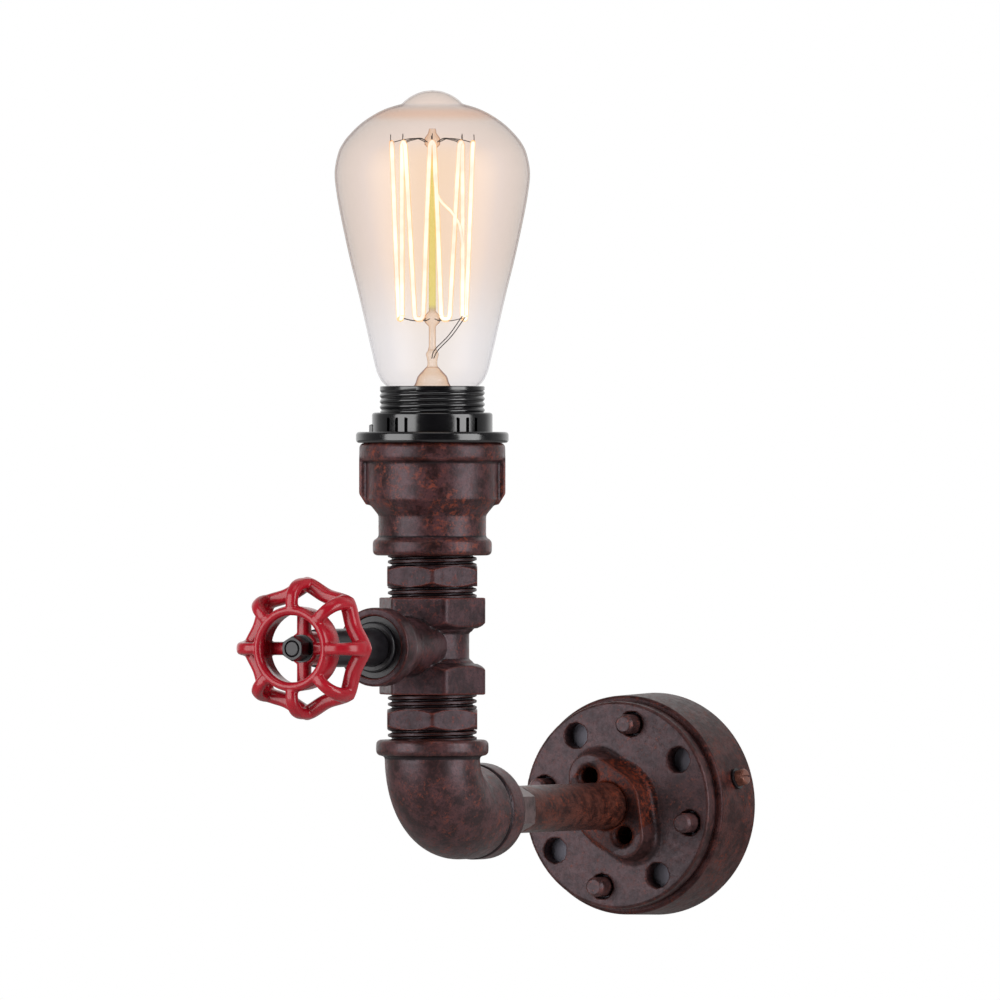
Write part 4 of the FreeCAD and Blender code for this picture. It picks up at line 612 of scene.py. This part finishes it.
def nipple(node, low, shown_below, shown_above):
    """Hexagon nipple with cut threads, of flat crests and narrow grooves, above and below."""
    crest, root, pitch, bore = 16.6, 15.1, 2.309, 9.5
    flats, hexagon, engaged, chamfer = 33.6, 7.5, 8.6, 1.2
    high = low + hexagon
    bottom = low - shown_below - engaged
    top = high + shown_above + engaged

    def thread(turn, height):
        phase = (height / pitch - turn / math.tau) % 1
        ridge = min(1.0, max(0.0, abs(2 * phase - 1) * 2.2 - 0.35))
        return root + (crest - root) * ridge

    def spanner_hexagon(turn, height):
        return hexagon_radius(flats, FACING, turn, min(height - low, high - height))

    def thread_levels(start, end):
        return [(height, thread) for height in steps_between(start, end, pitch / 12)]

    levels = [(bottom, bore), (bottom, root - chamfer), (bottom + chamfer, root)]
    levels += thread_levels(low - shown_below, low)
    levels += [(height, spanner_hexagon) for height in steps_between(low, high, 0.25)]
    levels += thread_levels(high, high + shown_above)
    levels += [(top - chamfer, root), (top, root - chamfer), (top, bore)]
    shape = skin(rings_round(turns(180, FACING + SIXTH / 2), levels))
    piece = piece_from(f"{node}_dressed", shape, 30)
    finish_piece(piece, "fixed", "dark_iron", iron_nipple, node)
    repaint(piece, thread_paint_and_crease_shade, lambda middle: not low < middle.z < high)


tee()
nipple("lower_nipple", 31.2, 3.8, 5.5)
nipple("upper_nipple", 84.6, 4.2, 4.0)

# Valve
machined("bonnet", "fixed", "dark_iron", black_steel, 0.2)
machined("gland_sleeve", "fixed", "black_steel", black_steel, 0.2)
machined("switch_body", "fixed", "black_plastic", black_moulding, 0.3)
machined("switch_tails", "fixed", "wire_sheath", brown_sheath, 0.0)
machined("valve_spindle", "wheel", "black_steel", black_steel, 0.15)


def wheel_point(reach, turn, depth):
    """A point of the handwheel: how far from the spindle, which way, how far out from the tee."""
    return Vector((reach * math.cos(turn), -REACH - depth, BRANCH + reach * math.sin(turn)))


def wheel_travel(turn):
    """The direction in which a point of the handwheel moves as it turns."""
    return wheel_point(1, turn + math.pi / 2, 0) - wheel_point(0, 0, 0)


def wheel_round(profile):
    """A shape turned about the spindle from corners of reach and depth."""
    return skin([[wheel_point(reach, turn, depth) for turn in turns(96)] if reach
                 else [wheel_point(0, 0, depth)] for reach, depth in profile])


def oval_bar(path, side, half_side, half_other, closed=False):
    """A bar of rounded oblong section; one axis of the section keeps to the given side.

    The half width along that side is one number or one number for each point."""
    rings = []
    last = len(path) - 1
    for step, point in enumerate(path):
        after = path[(step + 1) % len(path)] if closed else path[min(step + 1, last)]
        before = path[step - 1] if closed else path[max(step - 1, 0)]
        other = (after - before).cross(side).normalized()
        wide = half_side if isinstance(half_side, float) else half_side[step]
        ring = []
        for turn in turns(24):
            along_side = math.copysign(abs(math.cos(turn)) ** 0.75, math.cos(turn))
            along_other = math.copysign(abs(math.sin(turn)) ** 0.75, math.sin(turn))
            ring.append(point + side * (wide * along_side) + other * (half_other * along_other))
        rings.append(ring)
    if not closed:
        rings = [[path[0]]] + rings + [[path[-1]]]
    return skin(rings)


def handwheel():
    """Cast wheel: hub, straight spokes, a cupped ring, arched limbs and an eight-sided rim."""
    hub = [(0, 90.6), (5.6, 90.6), (6.25, 91.2), (6.25, 100.2), (5.6, 101.0), (0, 101.0)]
    ring = [(12.2, 109.2), (12.9, 110.4), (14.1, 110.9), (15.2, 110.3), (15.8, 108.8),
            (15.7, 105.5), (15.3, 99.4), (13.4, 99.4), (13.0, 105.0), (12.4, 108.0)]
    spoke_reaches, spoke_depth = (3.0, 7.0, 10.0, 12.6, 14.2), 99.2
    spoke_half_width, spoke_half_depth = 2.5, 2.6
    limb = [(14.4, 108.2), (17.3, 108.7), (20.2, 107.9), (22.6, 105.4), (23.7, 102.2),
            (23.9, 99.0), (23.7, 96.9)]
    limb_half_width, limb_flare, limb_half_depth = 2.2, 1.6, 2.1
    sides, rim_reach, rim_hollow, rim_depth = 8, 21.9, 0.9, 96.9
    rim_half_depth, rim_half_width = 3.2, 2.7

    shapes = [wheel_round(hub), wheel_round(ring)]
    for turn in turns(4):
        spoke = [wheel_point(reach, turn, spoke_depth) for reach in spoke_reaches]
        shapes.append(oval_bar(spoke, wheel_travel(turn), spoke_half_width, spoke_half_depth))
    for turn in turns(sides):
        arch = smooth_path([wheel_point(reach, turn, depth) for reach, depth in limb], 5)
        widths = [limb_half_width + limb_flare * (step / (len(arch) - 1)) ** 3
                  for step in range(len(arch))]
        shapes.append(oval_bar(arch, wheel_travel(turn), widths, limb_half_depth))
    rim = []
    for turn in turns(144):
        from_middle = turn % (math.tau / sides) - math.tau / (2 * sides)
        reach = rim_reach / math.cos(from_middle) - rim_hollow * math.cos(4 * from_middle) ** 2
        rim.append(wheel_point(reach, turn, rim_depth))
    outwards = Vector((0, -1, 0))
    shapes.append(oval_bar(rim, outwards, rim_half_depth, rim_half_width, closed=True))
    piece = piece_from("handwheel_casting", join_shapes(shapes))
    cast_shape(piece, cell=0.35, softness=9, grain=0.0)
    finish_piece(piece, "wheel", "red_enamel", red_enamel, "handwheel")


handwheel()
machined("wheel_washer", "wheel", "black_steel", black_steel, 0.12)
machined("wheel_nut", "wheel", "black_steel", black_steel, 0.25)

# Lampholder
machined("holder_ring", "fixed", "black_plastic", black_moulding, 0.0)


def holder_shell():
    """Moulded shell with groups of arched grip slots in its collar and a thread on its skirt."""
    bottom, collar_low, collar_high, top = 117.2, 142.2, 149.4, 159.25
    body, collar, crest, root, bore, lip = 19.3, 22.5, 19.65, 19.0, 17.6, 14.6
    pitch, floor_thickness = 2.13, 2
    slot_half, slot_depth, slot_shoulder, slot_crown = 0.62 / collar, 1.4, 146.4, 147.3
    slot_wall = 0.004
    lug, lug_half, lug_reach, lug_high = FACING + math.pi, math.radians(4), 1.1, 145.1
    camera_side = FACING - math.pi / 2
    slots = [camera_side + math.radians(36 + 72 * group + shift)
             for group in range(5) for shift in (-10.5, 0, 10.5)]
    columns = turns(120)
    for slot in slots:
        columns += [slot + shift for shift in
                    (-slot_half - slot_wall, -slot_half, 0, slot_half, slot_half + slot_wall)]
    columns += [lug - lug_half, lug - lug_half / 2, lug + lug_half / 2, lug + lug_half]
    columns = sorted(turn % math.tau for turn in columns)

    def apart(turn, middle):
        return abs((turn - middle + math.pi) % math.tau - math.pi)

    def slotted(turn, height):
        half = slot_half if height < slot_crown else 0.0
        return collar - slot_depth * any(apart(turn, slot) < half + 0.001 for slot in slots)

    def grip(turn, height):
        return slotted(turn, height) + lug_reach * (apart(turn, lug) < lug_half * 0.6)

    def thread(turn, height):
        wave = 0.5 - 0.5 * math.cos(math.tau * (height / pitch - turn / math.tau))
        return root + (crest - root) * wave ** 0.7

    plain = top - 1.6
    levels = [(bottom, lip), (bottom, body), (collar_low, body),
              (collar_low, grip), (lug_high - 0.4, grip),
              (lug_high, slotted), (slot_shoulder, slotted), (slot_crown, slotted),
              (slot_crown + 0.2, collar), (collar_high - 0.8, collar),
              (collar_high - 0.3, collar - 0.25), (collar_high, collar - 0.8),
              (collar_high, root)]
    levels += [(height, thread) for height in steps_between(collar_high + 0.2, plain, pitch / 14)]
    levels += [(plain + 0.2, crest - 0.1), (top - 0.25, crest - 0.1), (top, crest - 0.35),
               (top, bore), (bottom + floor_thickness, bore), (bottom + floor_thickness, lip)]
    shape = skin(rings_round(columns, levels))
    piece = piece_from("lampholder_shell_dressed", shape, 40)
    finish_piece(piece, "fixed", "black_plastic", black_moulding, "lampholder_shell")


holder_shell()
machined("holder_base", "fixed", "white_plastic", ivory, 0.3)
machined("screw_shell", "fixed", "brass", brass, 0.1)
machined("centre_contact", "fixed", "brass", brass, 0.2)
machined("holder_terminals", "fixed", "brass", brass, 0.2)
machined("live_lead", "fixed", "wire_sheath", brown_sheath, 0.0)
machined("neutral_lead", "fixed", "wire_sheath_blue", blue_sheath, 0.0)

# Lamp bulb: the heights of its tip and its two crowns of hooks, and the turn from hook to hook
TIP = 126.6
UPPER_HOOKS = TIP + 124.0
LOWER_HOOKS = TIP + 57.8
HOOK_STEP = math.tau / 8
LOWER_ROLL = FACING + HOOK_STEP / 2
# How far to each side the filament bends round a lower hook, and the radii of the wires
BEND_HALF = 1.7 / 13.0
HOOK_WIRE = 0.16
LEAD_IN_WIRE = 0.2
FILAMENT = 0.92
SLIPPED_FILAMENT = 0.65


def envelope():
    """Blown glass drawn from its measured outline, with a wall of even thickness."""
    outside = [(12.2, 144.6), (12.2, 149.0), (13.1, 153.0), (15.6, 156.9), (17.3, 159.4),
               (19.0, 161.2), (20.6, 164.4), (21.5, 167.6), (22.3, 171.0), (23.6, 176.5),
               (24.8, 182.0), (27.9, 195.3), (30.85, 207.2), (34.0, 221.8), (35.7, 231.2),
               (36.45, 239.0), (35.2, 246.0), (33.3, 250.0), (30.7, 253.3), (26.8, 257.1),
               (21.9, 260.5), (17.0, 262.9), (11.4, 264.6)]
    mound = [(11.2, 264.7), (9.9, 266.0), (7.0, 267.9), (3.6, 269.2), (0.0, 269.65)]
    wall = 0.45
    outline = smooth_path([Vector(corner) for corner in outside], 4)
    outline += smooth_path([Vector(corner) for corner in mound], 4)[1:]
    inner = []
    for step, point in enumerate(outline):
        along = outline[min(step + 1, len(outline) - 1)] - outline[max(step - 1, 0)]
        inwards = Vector((-along.y, along.x)).normalized()
        inner.append(point + inwards * wall)
    inner[-1] = Vector((0, outline[-1].y - wall))
    inner = [point for point in inner if point.x >= 0]
    rings = []
    for point in outline + inner[::-1]:
        columns = [0] if point.x < 0.01 else turns(144)
        radius = 0 if point.x < 0.01 else point.x
        rings += rings_round(columns, [(point.y, radius)])
    piece = piece_from("bulb_glass_dressed", skin(rings), 60)
    finish_piece(piece, "bulb", "clear_glass", lamp_glass, "bulb_glass")


def bulb_cap():
    """Brass cap with its rolled thread."""
    pitch, crest, root, wall = 3.629, 13.05, 12.35, 0.5
    mouth, foot = 13.0, 11.4
    bottom, top = TIP + 5.6, TIP + 24.6
    thread = steps_between(bottom + 1.6, top - 1.2, pitch / 12)

    def rolled(turn, height):
        wave = 0.5 + 0.5 * math.cos(math.tau * (height / pitch - turn / math.tau))
        return root + (crest - root) * wave

    def rolled_inside(turn, height):
        return rolled(turn, height) - wall

    levels = [(bottom, foot)] + [(height, rolled) for height in thread]
    levels += [(top, mouth), (top, mouth - wall)]
    levels += [(height, rolled_inside) for height in thread[::-1]] + [(bottom + wall, foot - wall)]
    rings = [[upright(0, 0, bottom)]] + rings_round(turns(72), levels)
    rings.append([upright(0, 0, bottom + wall)])
    piece = piece_from("bulb_cap_dressed", skin(rings), 40)
    finish_piece(piece, "bulb", "brass", brass, "bulb_cap")


def path_at_stem(corners, steps):
    """A curve through corners of radius, turn and height, with the stem's axis at the origin."""
    return smooth_path([Vector((radius * math.cos(turn), radius * math.sin(turn), height))
                        for radius, turn, height in corners], steps)


def copies_tree():
    """Copies a shape round the stem: Count copies, Step apart, each turned a little by chance."""
    tree = bpy.data.node_groups.new("copies_round_the_stem", "GeometryNodeTree")
    tree.interface.new_socket("Geometry", in_out="INPUT", socket_type="NodeSocketGeometry")
    for label, kind in (("Count", "NodeSocketInt"), ("First Turn", "NodeSocketFloat"),
                        ("Step", "NodeSocketFloat"), ("Wander", "NodeSocketFloat"),
                        ("Seed", "NodeSocketInt"), ("Finish", "NodeSocketMaterial")):
        tree.interface.new_socket(label, in_out="INPUT", socket_type=kind)
    tree.interface.new_socket("Geometry", in_out="OUTPUT", socket_type="NodeSocketGeometry")
    given = add(tree, "NodeGroupInput").outputs
    line = add(tree, "GeometryNodeMeshLine", {"mode": "OFFSET"},
               {"Count": given["Count"], "Start Location": Vector((0, -REACH, 0)) * MM,
                "Offset": (0, 0, 0)})
    number = add(tree, "GeometryNodeInputIndex").outputs["Index"]
    wander = add(tree, "FunctionNodeRandomValue", {"data_type": "FLOAT"},
                 {"Seed": given["Seed"], "ID": number})
    first = reckon(tree, "MULTIPLY_ADD", wander.outputs[1], given["Wander"], given["First Turn"])
    turn = reckon(tree, "MULTIPLY_ADD", number, given["Step"], first)
    rotation = add(tree, "ShaderNodeCombineXYZ", None, {"Z": turn})
    copies = add(tree, "GeometryNodeInstanceOnPoints", None,
                 {"Points": line.outputs["Mesh"], "Instance": given["Geometry"],
                  "Rotation": rotation.outputs["Vector"]})
    real = add(tree, "GeometryNodeRealizeInstances", None,
               {"Geometry": copies.outputs["Instances"]})
    dressed = add(tree, "GeometryNodeSetMaterial", None,
                  {"Geometry": real.outputs["Geometry"], "Material": given["Finish"]})
    add(tree, "NodeGroupOutput", None, {"Geometry": dressed.outputs["Geometry"]})
    return tree


COPIES = copies_tree()


def copied_round(name, shape, node, material, count, first, wander=0.0, seed=1):
    """A piece of the bulb made of one shape copied round the stem."""
    piece = piece_from(name, shape, 60)
    modifier = piece.modifiers.new("copies", "NODES")
    modifier.node_group = COPIES
    settings = {"Count": count, "First Turn": first, "Step": HOOK_STEP, "Wander": wander,
                "Seed": seed, "Finish": material}
    for socket in COPIES.interface.items_tree:
        if socket.in_out == "INPUT" and socket.name in settings:
            modifier[socket.identifier] = settings[socket.name]
    bake(piece)
    finish_piece(piece, "bulb", "fine_wire", material, node)


def hook(height, corners):
    """A support wire from a button of the stem, through corners of radius and rise."""
    return tube(path_at_stem([(radius, 0, height + rise) for radius, rise in corners], 6),
                HOOK_WIRE)


def filament_run():
    """The filament's way from one lower hook over the next upper hook and down again."""
    low = BEND_HALF / HOOK_STEP
    rise = [(13.0, BEND_HALF, LOWER_HOOKS + 1.2),
            (13.7, HOOK_STEP * (low + 0.09), LOWER_HOOKS + 22),
            (14.4, HOOK_STEP * (low + 0.18), LOWER_HOOKS + 44),
            (15.1, HOOK_STEP * 0.43, UPPER_HOOKS - 1.8)]
    fall = [(radius, HOOK_STEP - turn, height) for radius, turn, height in rise[::-1]]
    summit = [rise[-1], (15.2, HOOK_STEP / 2, UPPER_HOOKS - 0.4), fall[0]]
    return tube(path_at_stem(rise, 6)[:-1] + path_at_stem(summit, 3) + path_at_stem(fall, 6)[1:],
                FILAMENT)


def lower_bend():
    """The bend of the filament round a lower hook."""
    corners = [(13.0, BEND_HALF * share, LOWER_HOOKS + rise) for share, rise in
               ((-1, 1.2), (-0.6, 0), (0.6, 0), (1, 1.2))]
    return tube(path_at_stem(corners, 3), FILAMENT)


def slipped_run():
    """One run of the filament that has slipped sideways in front of the others."""
    front = FACING - math.pi / 2
    corners = [upright(radius, front + lean, height) for radius, lean, height in
               ((15.2, 0.04, UPPER_HOOKS - 1.6), (14.7, 0.12, 231.0), (14.3, 0.58, 223.2),
                (14.1, 0.88, 215.6), (13.4, 1.13, LOWER_HOOKS + 8.0),
                (13.0, 1.18, LOWER_HOOKS + 0.6))]
    shape = tube(smooth_path(corners, 5), SLIPPED_FILAMENT)
    piece = piece_from("filament_slipped_run", shape, 60)
    finish_piece(piece, "bulb", "fine_wire", filament_glow, "filament")


def glass_stem():
    """Pressed stem: a flared foot, a domed shoulder, a flattened pinch, a rod with two buttons."""
    foot = [(11.0, 24.0), (11.0, 25.2), (9.2, 28.5), (7.0, 32.6), (6.2, 34.1), (5.4, 36.4),
            (3.4, 38.6), (2.1, 40.4), (2.1, 42.6), (2.6, 44.7), (1.8, 46.0), (1.3, 47.5)]
    lower, upper = LOWER_HOOKS - TIP, UPPER_HOOKS - TIP
    rod = [(1.3, lower - 2.9), (2.9, lower - 1.2), (2.9, lower + 1.2), (1.3, lower + 2.9),
           (1.2, upper - 2.9), (2.9, upper - 1.2), (2.9, upper + 1.2), (1.6, upper + 3.0),
           (1.2, upper + 4.8)]
    pinch_low, pinch_high, pinched = 39.5, 46.2, 0.5
    outline = smooth_path([Vector(corner) for corner in foot], 4)
    outline += [Vector(corner) for corner in rod]
    rings = [[upright(0, 0, TIP + outline[0].y)]]
    for point in outline:
        flat = pinched if pinch_low < point.y < pinch_high else 1.0
        rings.append([Vector((point.x * math.cos(turn), point.x * flat * math.sin(turn) - REACH,
                              TIP + point.y)) for turn in turns(32)])
    rings.append([upright(0, 0, TIP + outline[-1].y)])
    piece = piece_from("glass_stem_dressed", skin(rings), 50)
    finish_piece(piece, "bulb", "clear_glass", stem_glass, "glass_stem")


def lead_in_wires():
    """Two wires from the pinch of the stem to the two ends of the filament."""
    open_hook = LOWER_ROLL - HOOK_STEP
    corners = [(0.9, 1.4, 43.0), (2.4, 0.8, 46.2), (7.5, 0.22, 51.6), (12.95, BEND_HALF, 58.8)]
    shapes = []
    for side in (-1, 1):
        path = [upright(radius, open_hook + turn * side, TIP + height)
                for radius, turn, height in corners]
        shapes.append(tube(smooth_path(path, 6), LEAD_IN_WIRE))
    piece = piece_from("lead_in_wires_dressed", join_shapes(shapes), 60)
    finish_piece(piece, "bulb", "fine_wire", fine_wire, "lead_in_wires")


envelope()
bulb_cap()
machined("cap_tip", "bulb_carriage", "tin", solder, 0.4)
machined("cap_insulator", "bulb", "black_glass", black_glass, 0.1)
glass_stem()
# The upper supports loop under the filament and end free, the lower ones hook over it
upper_hook = hook(UPPER_HOOKS, [(2.6, -0.2), (6, 1.1), (11, 0.6), (14.2, -0.2), (15.3, -0.1),
                                (15.6, 0.8), (15.5, 2.6)])
lower_hook = hook(LOWER_HOOKS, [(2.6, 0), (7, -0.7), (11.8, 0.2), (13.0, 0.55), (13.6, 0),
                                (13.2, -0.9)])
copied_round("upper_support_wires", upper_hook, "upper_supports", fine_wire, 8, FACING, 0.03, 4)
copied_round("lower_support_wires", lower_hook, "lower_supports", fine_wire, 7, LOWER_ROLL, 0.02,
             7)
copied_round("filament_runs", filament_run(), "filament", filament_glow, 8, LOWER_ROLL)
copied_round("filament_lower_bends", lower_bend(), "filament", filament_glow, 7, LOWER_ROLL)
slipped_run()
lead_in_wires()


# Camera, light and backdrop, in metres

FORWARD = Vector((-math.sin(FACING), math.cos(FACING), 0))
RIGHT = Vector((math.cos(FACING), math.sin(FACING), 0))
STAND = Vector((0, -REACH * MM, 0))


def place_by_upright(across, towards, height):
    """A place to the right of the upright, towards the camera and above the elbow's axis."""
    return STAND + RIGHT * across - FORWARD * towards + Vector((0, 0, height))


def aim(thing, place, target):
    """Puts a camera or lamp in its place and points it at the target."""
    thing.location = place
    thing.rotation_euler = (Vector(target) - Vector(place)).to_track_quat("-Z", "Y").to_euler()


camera_data = bpy.data.cameras.new("camera")
camera_data.lens = 504
camera_data.sensor_width = 36
camera_data.clip_end = 50
camera = bpy.data.objects.new("camera", camera_data)
bpy.context.scene.collection.objects.link(camera)
eye = place_by_upright(across=0.02526, towards=5.224, height=0.1168)
aim(camera, eye, eye + FORWARD)
bpy.context.scene.camera = camera


def softbox(name, across, towards, height, width, tall, brightness):
    """A large soft light that the camera doesn't see, pointed at the middle of the upright."""
    data = bpy.data.lights.new(name, "AREA")
    data.shape = "RECTANGLE"
    data.size = width
    data.size_y = tall
    data.energy = brightness * math.pi * width * tall
    lamp = bpy.data.objects.new(name, data)
    bpy.context.scene.collection.objects.link(lamp)
    aim(lamp, place_by_upright(across, towards, height), STAND + Vector((0, 0, 0.1)))
    lamp.visible_camera = False


softbox("softbox_left", across=-0.96, towards=0.72, height=0.2, width=1.0, tall=1.2,
        brightness=4.0)
softbox("softbox_right", across=1.04, towards=0.59, height=0.25, width=0.8, tall=1.2,
        brightness=4.6)
softbox("softbox_top", across=0.0, towards=0.4, height=1.3, width=0.9, tall=0.6, brightness=1.3)


def looked_at(tree, mirrored):
    """1 for what the camera sees, straight or through glass, and mirrored for what gloss shows."""
    path = add(tree, "ShaderNodeLightPath").outputs
    straight = reckon(tree, "MAXIMUM", path["Is Camera Ray"], path["Is Transmission Ray"])
    return reckon(tree, "MAXIMUM", straight,
                  reckon(tree, "MULTIPLY", path["Is Glossy Ray"], mirrored))


def studio():
    """A white backdrop to look at, in a room whose light falls off behind the camera."""
    world = bpy.data.worlds.new("studio")
    world.use_nodes = True
    tree = world.node_tree
    tree.nodes.clear()
    looking = add(tree, "ShaderNodeTexCoord").outputs["Generated"]
    behind = add(tree, "ShaderNodeVectorMath", {"operation": "DOT_PRODUCT"},
                 {0: looking, 1: FORWARD})
    share = add(tree, "ShaderNodeMapRange", None,
                {"Value": behind.outputs["Value"], "From Min": -1.0,
                 "From Max": 1.0}).outputs["Result"]
    room = add(tree, "ShaderNodeValToRGB",
               {"stops": [(0.0, 0.04), (0.5, 0.12), (0.76, 0.4), (0.95, 1.0)]}, {"Fac": share})
    white = looked_at(tree, ease(tree, share, 0.8, 0.95))
    backdrop = blend(tree, white, room.outputs["Color"], (1, 1, 1, 1))
    light = add(tree, "ShaderNodeBackground", None, {"Color": backdrop, "Strength": 1.0})
    add(tree, "ShaderNodeOutputWorld", None, {"Surface": light.outputs["Background"]})
    return world


def paper_floor():
    """Matt paper, nearly white to look at, that throws little light up at the fittings."""
    material, tree, place = new_material("paper_floor_white")
    grain = ease(tree, noise(tree, place, 60, 3.0), 0.3, 0.7, 0.96, 1.0)
    white = reckon(tree, "MULTIPLY", looked_at(tree, 0.2), reckon(tree, "MULTIPLY", grain, 0.72))
    paper = add(tree, "ShaderNodeBsdfDiffuse", None, {"Color": colour("#a3a1a0")})
    pale = add(tree, "ShaderNodeEmission", None, {"Color": (1, 1, 1, 1), "Strength": white})
    surface = add(tree, "ShaderNodeAddShader", None,
                  {0: paper.outputs["BSDF"], 1: pale.outputs["Emission"]})
    show(tree, surface.outputs["Shader"])
    return material


bpy.context.scene.world = studio()
floor_shape = bmesh.new()
bmesh.ops.create_grid(floor_shape, x_segments=1, y_segments=1, size=3.0,
                      matrix=Matrix.Translation((0, 0, -0.3)))
floor = piece_from("floor", floor_shape)
floor.data.materials.append(paper_floor())

bpy.context.scene.view_settings.view_transform = "Standard"
